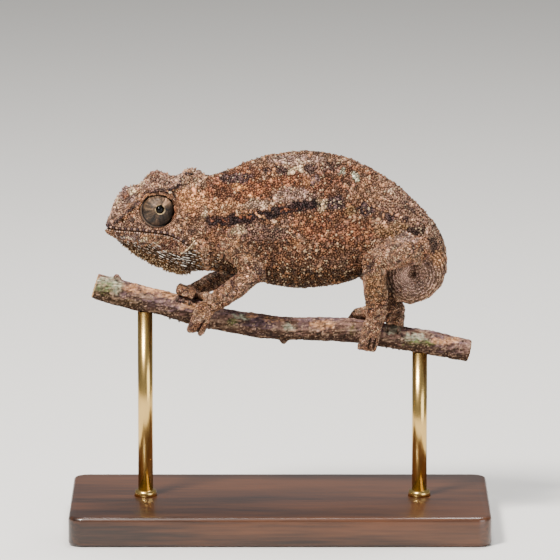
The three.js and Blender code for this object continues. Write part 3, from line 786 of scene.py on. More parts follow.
# The rim of each socket drawn in against the turret, as its lid.
def lidded(points):
    outer = eye["margin"] + lid["width"]
    for flank in (-1, 1):
        reach, spoke, distance = fromAxis(points, flank)
        near = (reach > 2) & (distance > eye["margin"]) & (distance < outer)
        share = eased((outer - distance) / 0.7) * near
        inwards = (distance - eye["margin"] - lid["gap"]) * lid["pull"] * share
        points = points - spoke / np.maximum(distance, 1e-6)[:, None] * inwards[:, None]
    return points


points = lidded(points + normalsOf(skinMesh) * folds(points, kind)[:, None])
movePoints(skinMesh, points)
# The skin is painted darker than its marking, as painted shade in the gaps between the scales.
paint(skinMesh, markings(points, markingKind) * skin["light"])
print("folded and painted")


# One scale: a dome open below, where it sits in the skin.
dome = bmesh.new()
bmesh.ops.create_icosphere(dome, subdivisions=1, radius=1)
lowest = min(dome.verts, key=lambda vert: vert.co.z)
bmesh.ops.delete(dome, geom=[lowest], context="VERTS")
dome.verts.index_update()
domePoints = np.array([vert.co for vert in dome.verts])
domeFaces = np.array([[vert.index for vert in face.verts] for face in dome.faces])
polar = np.arccos(np.clip(domePoints[:, 2], -1, 1))
unrolled = polar / polar.max() / np.maximum(np.sin(polar), 1e-6)
domePatch = domePoints[:, :2] * unrolled[:, None]
rise = (domePoints[:, 2] + 1) / 2
onTip = rise > 0.9
domePoints[onTip, 2] = 0.74    # a flat top
patchSize = 0.003
# Painted shade at each dome's foot, between the scales, and a painted highlight towards its tip.
shading = {"at": (0.28, 0.72, 1), "light": (0.1, 0.76, 1.25)}    # dark at the foot, light at the tip
# The tips of the rows' scales and the turret's beads are their colours made lighter by this, as a painted
# highlight.
tipLight = 1.3


# A piece made of one dome for each root. Sizes are the half lengths along, across and up, and
# sharpness draws a dome out to a point. Each dome is painted darker at its foot, as painted shade,
# and its tip takes the colours given for the tips, mostly painted highlights. Each dome's patch of
# the UV map is at the root's place on the skin's unwrap.
def coat(name, roots, up, along, sizes, sharpness, colours, tips, places,
         material=scaleMaterial, slot="skin"):
    across = np.cross(up, along)
    across /= np.maximum(np.linalg.norm(across, axis=1), 1e-9)[:, None]
    along = np.cross(across, up)
    narrow = 1 - np.minimum(sharpness, 1)[:, None] * 0.55 * rise[None, :]    # sharp ones are slim
    x = domePoints[None, :, 0] * sizes[:, None, 0] * narrow
    y = domePoints[None, :, 1] * sizes[:, None, 1] * narrow
    z = (domePoints[None, :, 2] + sharpness[:, None] * rise[None, :] ** 2) * sizes[:, None, 2]
    shape = x[..., None] * along[:, None] + y[..., None] * across[:, None] + z[..., None] * up[:, None]
    points = np.clip((roots[:, None] + shape).reshape(-1, 3), *(np.array(cadBox) / mm))
    faces = (domeFaces[None] + np.arange(len(roots))[:, None, None] * len(domePoints)).reshape(-1, 3)
    mesh = bpy.data.meshes.new(name)
    mesh.from_pydata(points * mm, [], faces)
    # Painted shade at the foot of each dome, lighter towards the top as a painted highlight.
    painted = colours[:, None] * np.interp(rise, shading["at"], shading["light"])[None, :, None]
    painted[:, onTip] = tips[:, None]
    paint(mesh, painted.reshape(-1, 3))
    layer = mesh.uv_layers.new(name="OFBake")
    patches = (places[:, None] + domePatch[None] * patchSize / 2).reshape(-1, 2)
    layer.data.foreach_set("uv", patches[faces.ravel()].ravel())
    print(name, "of", len(roots), "scales,", len(faces), "triangles")
    newPiece(name, mesh, material)


# Even random places on a mesh: none is nearer to another than that one's spacing. Their normals,
# places on the unwrap, spacings and nearest points of the mesh come with them.
def scattered(mesh, spacing, share):
    mesh.calc_loop_triangles()
    corners = numbersOf(mesh.loop_triangles, "vertices", 3, np.int64)
    loops = numbersOf(mesh.loop_triangles, "loops", 3, np.int64)
    areas = numbersOf(mesh.loop_triangles, "area", 1)[:, 0]
    wanted = areas / mm ** 2 / spacing[corners[:, 0]] ** 2
    tries = int(wanted.sum() * share)
    face = chance.choice(len(areas), tries, p=wanted / wanted.sum())
    weights = chance.dirichlet((1, 1, 1), tries)[:, :, None]
    nearest = corners[face, 0]
    gaps = spacing[nearest]
    places = (pointsOf(mesh)[corners[face]] * weights).sum(1)
    normals = (normalsOf(mesh)[corners[face]] * weights).sum(1)
    normals /= np.linalg.norm(normals, axis=1)[:, None]
    patches = (numbersOf(mesh.uv_layers[0].data, "uv", 2)[loops[face]] * weights).sum(1)
    tree = KDTree(tries)
    for index, place in enumerate(places):
        tree.insert(place, index)
    tree.balance()
    taken = bytearray(tries)
    chosen = []
    for index, place in enumerate(places):
        if taken[index]:
            continue
        chosen.append(index)
        for _, near, _ in tree.find_range(place, gaps[index]):
            taken[near] = 1
    return places[chosen], normals[chosen], patches[chosen], gaps[chosen], nearest[chosen]


# Turns colours towards another at a share of the points picked by chance.
def flecked(colours, name, share, amount):
    picked = chance.random(len(colours)) < share
    mixed = colours + (palette[name] - colours) * amount * chance.uniform(0.6, 1.0, (len(colours), 1))
    return np.where(picked[:, None], mixed, colours)


scale = {
    "spacing": {"trunk": 0.34, "neck": 0.34, "head": 0.31, "casque": 0.33, "jaw": 0.265, "limb": 0.255,
                "toes": 0.225, "tail": 0.27},
    "tries": 5,    # places tried for each one that fits
    "size": (0.8, 0.68, 0.6),    # half lengths along, across and up, as shares of the spacing
    "uneven": 0.22,
    "big": {"share": 0.2, "size": (1.5, 1.5, 1.4)},    # bigger ones among them
    "offMouth": (0.46, 0.7),    # below it and above it
    "offEye": 0.2,
    "deepest": 0.72,    # none lies deeper in a crease
    "betweenRows": 0.5,    # share left out between the throat's rows
    "pieces": {
        "coat_flank_left": ("trunk", "neck"), "coat_flank_right": ("trunk", "neck"),
        "coat_head": ("head", "casque"), "coat_throat": ("jaw",), "coat_limbs": ("limb",),
        "coat_toes": ("toes",), "coat_tail": ("tail",),
    },
}
coarse = 1.0
spacings = byKind(scale["spacing"], kind) * coarse
roots, up, places, gaps, nearest = scattered(skinMesh, spacings, scale["tries"])
rootKind = kind[nearest]
rootMarkingKind = markingKind[nearest]

# No scales on the lips, the eyes, the nostrils and deep in the creases, and fewer between throat rows.
side = sideView(roots)
lipGap, aboveLip = fromLine(side, mouth)
onSkull = isKind(rootKind, *skull)
kept = ~(onSkull & (lipGap < np.where(aboveLip > 0, scale["offMouth"][1], scale["offMouth"][0])))
kept &= ~(fromEyes(roots) < eye["margin"] + scale["offEye"])
kept &= ~(onSkull & (np.linalg.norm(side - nostril["at"], axis=1) < nostril["radius"]))
kept &= creased(side, rootKind) < scale["deepest"]
betweenRows = (throatShare(side, rootKind) > 0.5) & (lowThroat(side) < 0.35)
kept &= ~(betweenRows & (chance.random(len(roots)) < scale["betweenRows"]))
roots, up, places, gaps = roots[kept], up[kept], places[kept], gaps[kept]
rootKind, rootMarkingKind = rootKind[kept], rootMarkingKind[kept]
side = sideView(roots)
count = len(roots)

# Each scale is tinted by its place, and some at random are flecked pale, orange or dark.
colours = markings(roots, rootMarkingKind)
plain = 1 - throatShare(side, rootMarkingKind)
lowFlank = eased((58 - side[:, 1]) / 4) * isKind(rootKind, "trunk", "limb")
onLegs = isKind(rootKind, *legs)
onSkull = isKind(rootKind, *skull)
coiled = onCoil(roots, rootKind)
offStripe = fromLine(side, stripe)[0] >= stripeWidth
big = chance.random(count) < scale["big"]["share"] * (1 - 0.8 * lowFlank)
big &= ~isKind(rootKind, "toes", "jaw", "tail")
cluster = 0.5 * lumps(roots, 0.42, 51) + 0.3 * lumps(roots, 0.9, 52) + chance.normal(0, 0.28, count)
contrast = np.where(coiled, 0.5, np.where(onLegs, 1.35, 1))
colours *= np.exp(cluster * contrast + np.where(big, 0.16, -0.22))[:, None]
colours *= np.exp(chance.normal(0, 0.04, (count, 3)))
pale = eased(lumps(roots, 0.6, 53) * 3 - 0.2)
dull = eased(lumps(roots, 0.7, 54) * 3 - 0.2)
creamShare = (0.04 + (0.16 + 0.2 * lowFlank + 0.1 * onLegs) * pale) * plain * offStripe
colours = flecked(colours, "cream", creamShare, 0.5)
colours = flecked(colours, "orangeTan", (0.08 + 0.12 * onLegs) * plain * offStripe, 0.6)
colours = flecked(colours, "dark", (0.06 + (0.3 + 0.2 * onLegs + 0.3 * onSkull) * dull) * plain, 0.8)
# The tips are each scale's colour made lighter as a painted highlight, with a touch of cream off the stripe.
tips = colours * shading["light"][2] + (palette["cream"] - colours) * 0.05 * (plain * offStripe)[:, None]

sizes = gaps[:, None] * np.array(scale["size"]) * np.exp(chance.normal(0, scale["uneven"], (count, 3)))
sizes *= 1 - 0.4 * creased(side, rootKind)[:, None]
sharpness = np.clip(chance.normal(0.2, 0.2, count), 0, 0.8) * ~isKind(rootKind, "toes")
along = chance.normal(0, 1, (count, 3))
sizes[big] *= scale["big"]["size"]

# Scales lie in rows along the coil of the tail, lower between the rows.
radius, angle = coilPlace(roots)
coilWay = np.column_stack([-np.sin(angle), np.zeros(count), np.cos(angle)])
along[coiled] = coilWay[coiled]
size = np.where(coilWave(radius) > -0.2, 1, 1 - 0.45 * rowed(radius)) * (0.7 + 0.3 * rowed(radius))
sizes[coiled] *= size[coiled, None] * np.array([1.15, 0.9, 1.0])

# Thorny scales: along the throat's edge, along the back, and on the casque and the brow.
throatThorn = {"share": 0.46, "sharpness": (0.9, 2.2), "size": 1.4, "tip": (0.6, 1.25)}
backThorn = {"share": 0.35, "sharpness": (0.2, 0.6), "size": 1.2, "halfWidth": 0.8, "above": 57}
browThorn = {"share": 0.3, "sharpness": (0.3, 1.2), "size": (1.1, 1.4), "above": 68}

low = isKind(rootKind, "jaw") & (lowThroat(side) > 0.3) & (up[:, 2] < 0.15)
low &= chance.random(count) < throatThorn["share"]
sharpness[low] = chance.uniform(*throatThorn["sharpness"], low.sum())
sizes[low] *= throatThorn["size"]
tips[low] = palette["cream"] * chance.uniform(*throatThorn["tip"], (low.sum(), 1))

onBack = isKind(rootKind, *body) & (np.abs(roots[:, 1]) < backThorn["halfWidth"]) & (up[:, 2] > -0.2)
onBack &= (chance.random(count) < backThorn["share"]) & (roots[:, 2] > backThorn["above"])
sharpness[onBack] = chance.uniform(*backThorn["sharpness"], onBack.sum())
sizes[onBack] *= backThorn["size"]

onBrow = isKind(rootKind, "casque", "head") & ((up[:, 2] > 0.5) | (side[:, 1] > browThorn["above"]))
onBrow &= chance.random(count) < browThorn["share"]
sizes[onBrow] *= chance.uniform(*browThorn["size"], (onBrow.sum(), 1))
sharpness[onBrow] = chance.uniform(*browThorn["sharpness"], onBrow.sum())

for name, partKinds in scale["pieces"].items():
    part = isKind(rootKind, *partKinds)
    if "flank" in name:
        part &= (roots[:, 1] < 0) == ("left" in name)
    coat(name, roots[part], up[part], along[part], sizes[part], sharpness[part], colours[part],
         tips[part], places[part])

# The skin and the scales' roots, for finding places on them.
faces = [tuple(face.vertices) for face in skinMesh.polygons]
skinTree = BVHTree.FromPolygons([Vector(point) for point in points], faces)
rootTree = KDTree(count)
for index, root in enumerate(roots):
    rootTree.insert(root, index)
rootTree.balance()


# Places on the animal's side at points of the side view, with the skin's direction there.
def onSide(line, flank):
    tilt = math.radians(camera["elevation"])
    upwards = Vector((0, -flank * math.sin(tilt), math.cos(tilt)))
    inwards = Vector((0, -flank * math.cos(tilt), -math.sin(tilt)))
    middle = camera["target"][2]
    found = []
    for x, height in line:
        start = Vector((x, 0, middle)) + upwards * (height - middle) - inwards * 40
        place, normal, _, _ = skinTree.ray_cast(start, inwards)
        if place is not None and place.y * flank > 0:
            found.append((place, normal))
    return np.array([place for place, _ in found]), np.array([normal for _, normal in found])


# A smooth line of the side view as places an even gap apart.
def evenly(line, gap):
    fine = smoothLine(line, 400)
    run = np.concatenate([[0], np.cumsum(np.linalg.norm(np.diff(fine, axis=0), axis=1))])
    stops = np.arange(0, run[-1], gap)
    return np.column_stack([np.interp(stops, run, column) for column in fine.T])


# Rows of bigger scales at the lips, the crest over the eye and the corner of the mouth: the line,
# how far above it, the gap, the half lengths and the tints in turn.
rows = [
    (mouth, 0.4, 0.6, (0.33, 0.33, 0.26), ("plum", "pinkTan")),
    (mouth, -0.3, 0.5, (0.27, 0.2, 0.16), ("pinkGrey", "greyCream", "tan", "grey")),
    (crest, 0.3, 0.42, (0.26, 0.2, 0.22), ("tan", "pinkTan", "umber")),
    (mouthCorner, 0, 0.3, (0.3, 0.14, 0.22), ("cream", "cream", "greyCream")),
]
throatScale = {"size": (0.5, 0.125, 0.15), "brightest": -20.2, "reach": 3.6,
               "dull": palette["greyTan"] * 0.5, "bright": palette["white"] * 0.72}
lidBead = {"rings": (-0.34, -0.12, 0.1, 0.34), "gap": 0.3, "size": (0.17, 0.14, 0.12)}
rowScales = {"roots": [], "up": [], "along": [], "sizes": [], "colours": []}


# Scales added along a line of places. The spread is how much their tones differ.
def addRow(spots, ways, size, tints, spread):
    rowScales["roots"].append(spots)
    rowScales["up"].append(ways)
    rowScales["along"].append(np.gradient(spots, axis=0))
    rowScales["sizes"].append(np.array(size) * np.exp(chance.normal(0, 0.12, (len(spots), 3))))
    rowScales["colours"].append(np.array(tints) * np.exp(chance.normal(0, spread, (len(spots), 1))))


for path, lift, gap, size, names in rows:
    line = evenly([(x, z + lift) for x, z in path], gap * coarse)
    for flank in (-1, 1):
        spots, ways = onSide(line, flank)
        tints = [palette[names[index % len(names)]] for index in range(len(spots))]
        addRow(spots, ways, size, tints, 0.25)

# Long thin pale scales in slanting rows down the throat, brightest under the jaw's corner.
across = np.arange(throatRows["front"], throatRows["rear"], throatRows["step"] * coarse)
pitch = throatRows["pitch"]
for number in range(int(throatRows["lowest"] / pitch), int(throatRows["highest"] / pitch)):
    x = across + chance.uniform(0, throatRows["step"]) + chance.normal(0, 0.1, len(across))
    gap = x - throatRows["middle"]
    height = number * pitch - throatRows["slope"] * gap + throatRows["bend"] * gap ** 2
    line = np.column_stack([x, height + chance.normal(0, 0.07, len(x))])
    lifted = line - np.column_stack([np.zeros(len(x)), 1.1 * eased((-22.5 - x) / 2)])
    below = throatShare(lifted, allOf("jaw", len(x))) > 0.4
    for flank in (-1, 1):
        spots, ways = onSide(line[below], flank)
        if len(spots) < 2:
            continue
        low = lowThroat(sideView(spots))[:, None]
        high = 1 - throatShare(sideView(spots), allOf("jaw", len(spots)))[:, None]
        bright = swell(spots[:, :1], throatScale["brightest"], throatScale["reach"]) * (1 - low) + 0.3 * high
        bright = np.clip(bright * 0.7 + 0.42, 0, 1) * chance.uniform(0.1, 1.0, (len(spots), 1)) ** 1.2
        tints = throatScale["dull"] + (throatScale["bright"] - throatScale["dull"]) * bright
        tints += (palette["throatEdge"] - tints) * low * 0.8
        addRow(spots, ways, throatScale["size"], tints, 0.2)
        rowScales["sizes"][-1] *= np.exp(chance.normal(0, 0.2, (len(spots), 3))) * (0.8 + 0.4 * bright)

# Beads in rings along the lid of each eye socket.
centre = Vector(eye["middle"])
for flank, ring in product((-1, 1), lidBead["rings"]):
    ring += eye["margin"]
    out, upwards, fore = (Vector(way) for way in eyeDirections(flank))
    turns = np.arange(0, 2 * math.pi, lidBead["gap"] * coarse / ring)
    starts = [centre + out * 20 + (upwards * math.cos(turn) + fore * math.sin(turn)) * ring for turn in turns]
    found = [skinTree.ray_cast(start, -out)[:2] for start in starts]
    found = [(place, normal) for place, normal in found if place and (place - centre).dot(out) > 2.6]
    spots = np.array([place for place, _ in found])
    ways = np.array([normal for _, normal in found])
    addRow(spots, ways, lidBead["size"], markings(spots, allOf("head", len(spots))), 0.35)

rowScales = {key: np.vstack(values) for key, values in rowScales.items()}
rowPlaces = np.array([places[rootTree.find(root)[1]] for root in rowScales["roots"]])
# Their tips are their colours made lighter by tipLight, as a painted highlight.
coat("coat_rows", rowScales["roots"], rowScales["up"], rowScales["along"], rowScales["sizes"],
     np.full(len(rowPlaces), 0.2), rowScales["colours"], rowScales["colours"] * tipLight, rowPlaces)
print("scales")


# The turret's outline runs from under the lid to the rim of the opening: away from the axis, and out.
turret = {
    "outline": [(2.3, 1.6), (3.1, 2.4), (3.48, 3.2), (3.54, 3.7), (3.4, 3.95), (3.2, 4.0), (3.14, 4.2),
                (2.9, 4.85), (2.4, 5.45), (1.85, 5.95), (1.4, 6.2), (1.1, 6.32), (0.95, 6.33), (0.86, 6.24),
                (0.82, 5.8)],
    "steps": 96,
    # Painted shade: the turret under its beads is darkened by this share, for the shade between the beads.
    "light": 0.7,    # how dark it is between the beads
    "beads": {"from": 1.2, "to": 3.0, "gap": 0.17, "above": 4.2, "size": (0.1, 0.08, 0.045)},
}
# groove is near black: painted shade where the turret's foot meets the lid.
turretPalette = pigments(
    light=(182, 150, 124), grey=(148, 124, 104), tan=(138, 114, 92), olive=(110, 92, 74),
    brown=(92, 75, 60), green=(82, 68, 54), deep=(68, 55, 46), lid=(222, 196, 152), groove=(40, 30, 26),
    margin=(124, 102, 84),
)

# The turret's colours at angles in degrees from up towards the snout.
sectors = [(-180, "deep"), (-130, "brown"), (-90, "olive"), (-45, "tan"), (-15, "grey"), (8, "grey"),
           (16, "brown"), (26, "grey"), (45, "light"), (62, "grey"), (78, "brown"), (95, "deep"),
           (135, "green"), (180, "deep")]


# The turret's colour at a distance from its axis and an angle round it.
def turretColours(radius, angle, out):
    ring = np.column_stack([np.cos(angle) * 2.2, np.sin(angle) * 2.2, radius * 0.3])
    streak = 0.7 * lumps(ring, 0.6, 21) + 1.2 * lumps(ring, 0.28, 22) + 0.9 * lumps(ring, 0.15, 23)
    turned = (np.degrees(angle) + 8 * streak + 180) % 360 - 180
    around = [place for place, _ in sectors]
    tints = np.array([turretPalette[name] for _, name in sectors])
    colours = np.column_stack([np.interp(turned, around, column) for column in tints.T])
    colours = colours * np.exp(0.9 * streak + 0.12 * np.cos(radius * 12) - 0.1)[:, None]
    onRim = eased((1.1 - radius) / 0.12) * (out > 4.05)
    return layered(
        colours, turretPalette,
        (onRim * (0.55 - 0.3 * np.cos(angle) + 0.7 * streak), "lid"),
        # Both groove layers are painted shade: on the turret's outer edge, and on its foot under the lid.
        (eased((radius - 3.02) / 0.1) * 0.9, "groove"),
        (eased((radius - 3.28) / 0.06) * eased((out - 3.5) / 0.2), "margin"),
        (eased((3.3 - out) / 0.4), "groove"))


for name, flank in (("left", -1), ("right", 1)):
    out, upwards, fore = eyeDirections(flank)
    centre = eye["middle"]
    form = bmesh.new()
    outline = smoothLine(turret["outline"], 60)
    verts = [form.verts.new((centre + out * reach + upwards * radius) * mm) for radius, reach in outline]
    for first, second in zip(verts, verts[1:]):
        form.edges.new((first, second))
    bmesh.ops.spin(form, geom=form.verts[:] + form.edges[:], cent=Vector(centre * mm), axis=Vector(out),
                   angle=2 * math.pi, steps=turret["steps"], use_merge=True)
    bmesh.ops.recalc_face_normals(form, faces=form.faces)
    mesh = meshOf(name + "_turret", form)
    gap = pointsOf(mesh) - centre
    angle = np.arctan2(gap @ fore, gap @ upwards)
    radius = np.hypot(gap @ fore, gap @ upwards)
    # The turret under the beads is painted darker, as painted shade between the beads.
    paint(mesh, turretColours(radius, angle, gap @ out) * turret["light"])
    newPiece(name + "_turret", mesh, turretMaterial, [name + "_eye_turret"])

    # Fine beads in rings round the dome, each on the outline's own slope.
    beads = turret["beads"]
    front = outline[outline[:, 1] > beads["above"]]
    front = front[np.argsort(front[:, 0])]
    spots = []
    for index, ring in enumerate(np.arange(beads["from"], beads["to"], beads["gap"] * coarse)):
        amount = int(2 * math.pi * ring / (beads["gap"] * coarse))
        spots += [(ring, 2 * math.pi * (place + index % 2 / 2) / amount) for place in range(amount)]
    radius, angle = np.array(spots).T
    radius = radius + chance.normal(0, 0.02, len(spots))
    reach = np.interp(radius, front[:, 0], front[:, 1])
    slope = np.interp(radius + 0.05, front[:, 0], front[:, 1]) - reach
    turned = np.column_stack([np.cos(angle), np.sin(angle)])
    spoke = turned[:, :1] * upwards + turned[:, 1:] * fore
    beadRoots = centre + spoke * radius[:, None] + out * reach[:, None]
    beadUp = out * 0.05 - spoke * slope[:, None]
    beadUp /= np.linalg.norm(beadUp, axis=1)[:, None]
    beadSizes = np.array(beads["size"]) * coarse * np.exp(chance.normal(0, 0.15, (len(spots), 3)))
    beadColours = turretColours(radius, angle, reach) * np.exp(chance.normal(0, 0.2, (len(spots), 1)))
    beadPlaces = 0.5 + 0.42 * (radius[:, None] / beads["to"]) * turned
    # The beads' tips are their colours made lighter by tipLight, as a painted highlight.
    coat(name + "_turret_beads", beadRoots, beadUp, spoke, beadSizes, np.zeros(len(spots)), beadColours,
         beadColours * tipLight, beadPlaces, turretMaterial, "turret_skin")

ball = {"radius": 0.94, "out": 5.6, "colour": shade(2, 2, 2)}
eyeMaterial = newMaterial("eyeball", 0.04, 0.12, colour=ball["colour"])[0]
for name, flank in (("left", -1), ("right", 1)):
    place = (eye["middle"] + eyeDirections(flank)[0] * ball["out"]) * mm
    form = bmesh.new()
    bmesh.ops.create_uvsphere(form, u_segments=32, v_segments=20, radius=ball["radius"] * mm)
    bmesh.ops.translate(form, verts=form.verts, vec=Vector(place))
    newPiece(name + "_eyeball", meshOf(name + "_eyeball", form), eyeMaterial, [name + "_eye"])
print("eyes")


# Each claw is drawn in towards the bark, from so far at its root to so much more at its tip, and
# darkens towards the tip.
claw = {"dig": (0.4, 0.6), "pale": pigment(104, 78, 58), "tip": pigment(52, 38, 30)}
twigSpots = pointsOf(nodes["perch"].data)
form = bmesh.new()
clawTints = []
for name in claws:
    part, _ = copied([name])
    places = np.array([vert.co for vert in part.verts])
    middle = places.mean(0)
    way = np.linalg.svd(places - middle)[2][0]
    run = (places - middle) @ way
    girth = np.linalg.norm(places - middle - run[:, None] * way, axis=1)
    if np.corrcoef(run, girth)[0, 1] > 0:
        way, run = -way, -run
    tip = middle + way * run.max()
    inwards = twigSpots[np.abs(twigSpots[:, 0] - middle[0] / mm) < 2].mean(0) - middle / mm
    inwards = Vector((0, inwards[1], inwards[2])).normalized()
    for vert, share in zip(part.verts, (run - run.min()) / (run.max() - run.min())):
        vert.co += inwards * (claw["dig"][0] + claw["dig"][1] * share) * mm
    bmesh.ops.subdivide_edges(part, edges=part.edges, cuts=1, use_grid_fill=True, smooth=0.6)
    mesh = meshOf("claw", part)
    form.from_mesh(mesh)
    fromTip = (pointsOf(mesh) * mm - tip) @ -way / (run.max() - run.min())
    clawTints.append(claw["tip"] + (claw["pale"] - claw["tip"]) * eased(fromTip * 1.4)[:, None])
mesh = meshOf("claws", form)
paint(mesh, np.vstack(clawTints))
newPiece("claws", mesh, clawMaterial, claws)
print("claws")


twig = {"voxel": 0.18, "ends": (-35.5, 36.5)}
barkPalette = pigments(
    bark=(134, 108, 98), mauve=(124, 104, 108), plum=(88, 72, 82), brown=(98, 72, 56), umber=(78, 58, 44),
    crack=(54, 42, 36), peach=(208, 162, 122), flake=(184, 158, 136), green=(114, 130, 74),
    moss=(108, 102, 52), silver=(176, 178, 158), wood=(204, 168, 128),
)
# Ovals of bark in the side view, like the animal's own fields.
twigFields = [
    ("silver", (-34.4, 49.2), (3.4, 1.4), 0.8), ("green", (-34.6, 48.2), (3.4, 1.5), 0.75),
    ("silver", (-32.6, 48.4), (1.2, 1.1), 0.85), ("moss", (-30.6, 45.4), (3.2, 0.9), 0.85),
    ("moss", (-34.4, 46.6), (2.6, 0.8), 0.6), ("peach", (-26.4, 48.4), (5.2, 1.1), 0.9),
    ("peach", (-22.4, 47), (2.6, 0.7), 0.85), ("plum", (-28.4, 48.3), (0.7, 0.6), 0.9),
    ("plum", (-25, 47.2), (1.6, 0.4), 0.8), ("plum", (-20.3, 46.1), (0.9, 0.6), 0.95),
    ("crack", (-30, 47.4), (0.7, 0.5), 0.9), ("crack", (-32.4, 49.2), (0.4, 0.4), 0.9),
    ("mauve", (-24, 45.8), (3.6, 0.9), 0.8), ("peach", (-18.4, 44.9), (1.7, 1.0), 0.85),
    ("silver", (-7.6, 42.7), (1.8, 0.5), 0.8), ("green", (-9.6, 41.4), (1.3, 0.9), 0.85),
    ("plum", (-4, 41.5), (3.2, 1.0), 0.65), ("peach", (-1.2, 42.2), (2.2, 0.5), 0.7),
    ("silver", (1.6, 40.6), (1.3, 0.9), 0.65), ("plum", (4.6, 41.2), (1.6, 0.8), 0.8),
    ("peach", (8.6, 41.1), (2.5, 0.8), 0.95), ("crack", (9, 41.2), (0.25, 0.2), 0.9),
    ("moss", (14.6, 39.9), (1.0, 0.9), 0.7), ("peach", (5.7, 38.9), (0.3, 0.25), 0.9),
    ("silver", (22.6, 40.2), (1.6, 0.8), 0.6), ("plum", (25, 39.6), (1.4, 0.6), 0.7),
    ("green", (27.8, 37.4), (3.2, 0.9), 0.85), ("silver", (26.8, 38.4), (2.8, 0.7), 0.9),
    ("peach", (33.8, 37.8), (2.2, 0.9), 0.75), ("plum", (35, 35), (1.8, 1.3), 0.6),
    ("peach", (31.4, 38), (0.9, 0.6), 0.8), ("peach", (-5.6, 43), (1.4, 0.4), 0.7),
    ("plum", (20.6, 40.6), (0.8, 0.9), 0.7), ("plum", (-13.4, 43.4), (1.2, 0.7), 0.7),
    ("umber", (11.8, 40.2), (1.6, 0.8), 0.7),
]


# Lumps drawn out along the twig.
def longLumps(points, stretch, scale, seed):
    return lumps(points * np.array([stretch, 1, 1]), scale, seed)


# The bark's thin splits along the twig, from 0 off them to 1 in them.
def barkSplits(points):
    return eased((0.1 - np.abs(longLumps(points, 0.2, 0.42, 33))) / 0.1)


# The bark's flat flakes.
def barkFlakes(points):
    return longLumps(points, 0.45, 0.7, 31) + 0.5 * longLumps(points, 0.2, 0.3, 32)


mesh = fused(copied(["perch"])[0], twig["voxel"])
twigPoints = relaxed(pointsOf(mesh), edgesOf(mesh), 0.5, 8)
movePoints(mesh, twigPoints)
relief = 0.12 * eased(barkFlakes(twigPoints) * 3 + 0.5) + 0.05 * lumps(twigPoints, 0.5, 34)
relief += 0.06 * longLumps(twigPoints, 0.5, 0.25, 48) - 0.12 * barkSplits(twigPoints) - 0.06
twigPoints += normalsOf(mesh) * relief[:, None]
movePoints(mesh, twigPoints)


# The bark's colours: broad tones, the ovals over them, then painted shade on its underside, flakes,
# cracks and specks, and last a random tone with a painted light on its top.
def twigColours(points, normals):
    side = sideView(points) + 0.45 * np.column_stack([lumps(points, 1.0, seed) for seed in (35, 36)])
    side += 0.4 * np.column_stack([lumps(points, 0.35, seed) for seed in (45, 46)])
    colours = layered(
        np.tile(barkPalette["bark"], (len(points), 1)), barkPalette,
        (eased(longLumps(points, 0.2, 1.2, 37) * 3) * 0.8, "mauve"),
        (eased(longLumps(points, 0.2, 0.9, 38) * 3 - 0.6) * 0.7, "brown"))
    worn = 0.75 + 0.5 * lumps(points, 0.4, 47)
    for name, middle, size, strength in twigFields:
        share = inOval(side, middle, size, 1.2, 0.5) * worn * strength
        colours = layered(colours, barkPalette, (share, name))
    flakes = barkFlakes(points) * 3.4
    colours = layered(
        colours, barkPalette,
        # Painted shade: the underside darkens as the normals turn down.
        (eased(-normals[:, 2] * 1.4 + 0.5) * 0.85, "umber"),
        (eased(flakes - 1.4) * 0.35, "flake"),
        (eased(-flakes - 1.2) * 0.6, "umber"),
        (eased(lumps(points, 0.35, 42) * 4 - 1.9) * 0.55, "flake"),
        (eased(-lumps(points, 0.4, 43) * 4 - 1.7) * 0.8, "crack"),
        (barkSplits(points) * 0.55, "umber"),
        (eased(lumps(points, 0.24, 49) * 4 - 1.8) * 0.7, "flake"))
    # A random tone along the twig, and a painted light on its top where the normals face up.
    light = 0.75 * longLumps(points, 0.5, 0.26, 44) + 0.3 * eased(normals[:, 2] * 1.6 - 0.6) - 0.05
    return colours * np.exp(light)[:, None]


colours = twigColours(twigPoints, normalsOf(mesh))
ends = np.abs(normalsOf(mesh)[:, 0]) > 0.85
ends &= (twigPoints[:, 0] < twig["ends"][0]) | (twigPoints[:, 0] > twig["ends"][1])
colours[ends] = barkPalette["wood"]    # the sawn ends
paint(mesh, colours)
newPiece("twig", mesh, barkMaterial, ["perch"])
print("twig of", len(twigPoints), "points")


# The stand: a base of dark wood and two brass rods, each with a collar at its foot.
base = {"corner": 3, "round": 0.8, "dark": pigment(62, 40, 27), "pale": pigment(116, 78, 50)}
rod = {"radius": 1.5, "collar": 2.3, "collarHeight": 1.2, "sides": 48, "colour": shade(212, 176, 106)}

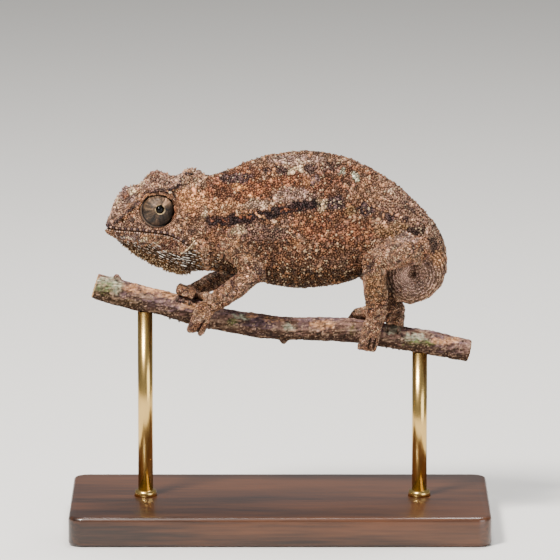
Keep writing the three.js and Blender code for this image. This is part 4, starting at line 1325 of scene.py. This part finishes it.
woodMaterial, tree, surface = newMaterial("wood", 0.35, 0.5, coat=0.25)
rings = fineNoise(tree, 9, 2.0, (0.12, 1, 1))
grain = fineNoise(tree, 0.6, 4.0, (0.05, 1, 1))
blend = addNode(tree, "ShaderNodeMix", {"Factor": 0.4}, data_type="FLOAT")
tree.links.new(rings.outputs["Fac"], blend.inputs["A"])
tree.links.new(grain.outputs["Fac"], blend.inputs["B"])
ramp = addNode(tree, "ShaderNodeValToRGB", {"Fac": blend.outputs["Result"]})
for element, place, tint in zip(ramp.color_ramp.elements, (0.38, 0.62), (base["dark"], base["pale"])):
    element.position = place
    element.color = (*tint, 1)
tree.links.new(ramp.outputs["Color"], surface.inputs["Base Color"])

low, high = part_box("stand_base")
baseTop = high.z
form = bmesh.new()
bmesh.ops.create_cube(form, size=1)
for vert in form.verts:
    vert.co = Vector([low[axis] if vert.co[axis] < 0 else high[axis] for axis in range(3)])
upright = [edge for edge in form.edges if abs(edge.verts[0].co.z - edge.verts[1].co.z) > mm]
bmesh.ops.bevel(form, geom=upright, offset=base["corner"] * mm, affect="EDGES", segments=8, profile=0.5,
                material=-1)
level = [edge for edge in form.edges if abs(edge.verts[0].co.z - edge.verts[1].co.z) < 0.01 * mm]
bmesh.ops.bevel(form, geom=level, offset=base["round"] * mm, affect="EDGES", segments=4, profile=0.5,
                material=-1)
newPiece("stand_base_wood", meshOf("stand_base_wood", form), woodMaterial, ["stand_base"])


# An upright bar on the base, from its radius at the foot to that at the top.
def addBar(form, x, foot, top, height):
    made = bmesh.ops.create_cone(form, cap_ends=True, segments=rod["sides"], radius1=foot * mm,
                                 radius2=top * mm, depth=height)
    bmesh.ops.translate(form, verts=made["verts"], vec=Vector((x, 0, baseTop + height / 2)))


brassMaterial = newMaterial("brass", 0.25, 0.5, metallic=1.0, colour=rod["colour"])[0]
for name in ("stand_rod_front", "stand_rod_rear"):
    low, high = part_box(name)
    x = (low.x + high.x) / 2
    form = bmesh.new()
    addBar(form, x, rod["radius"], rod["radius"], high.z - baseTop)
    addBar(form, x, rod["collar"], rod["collar"] * 0.9, rod["collarHeight"] * mm)
    newPiece(name + "_brass", meshOf(name + "_brass", form), brassMaterial, [name])
print("stand")
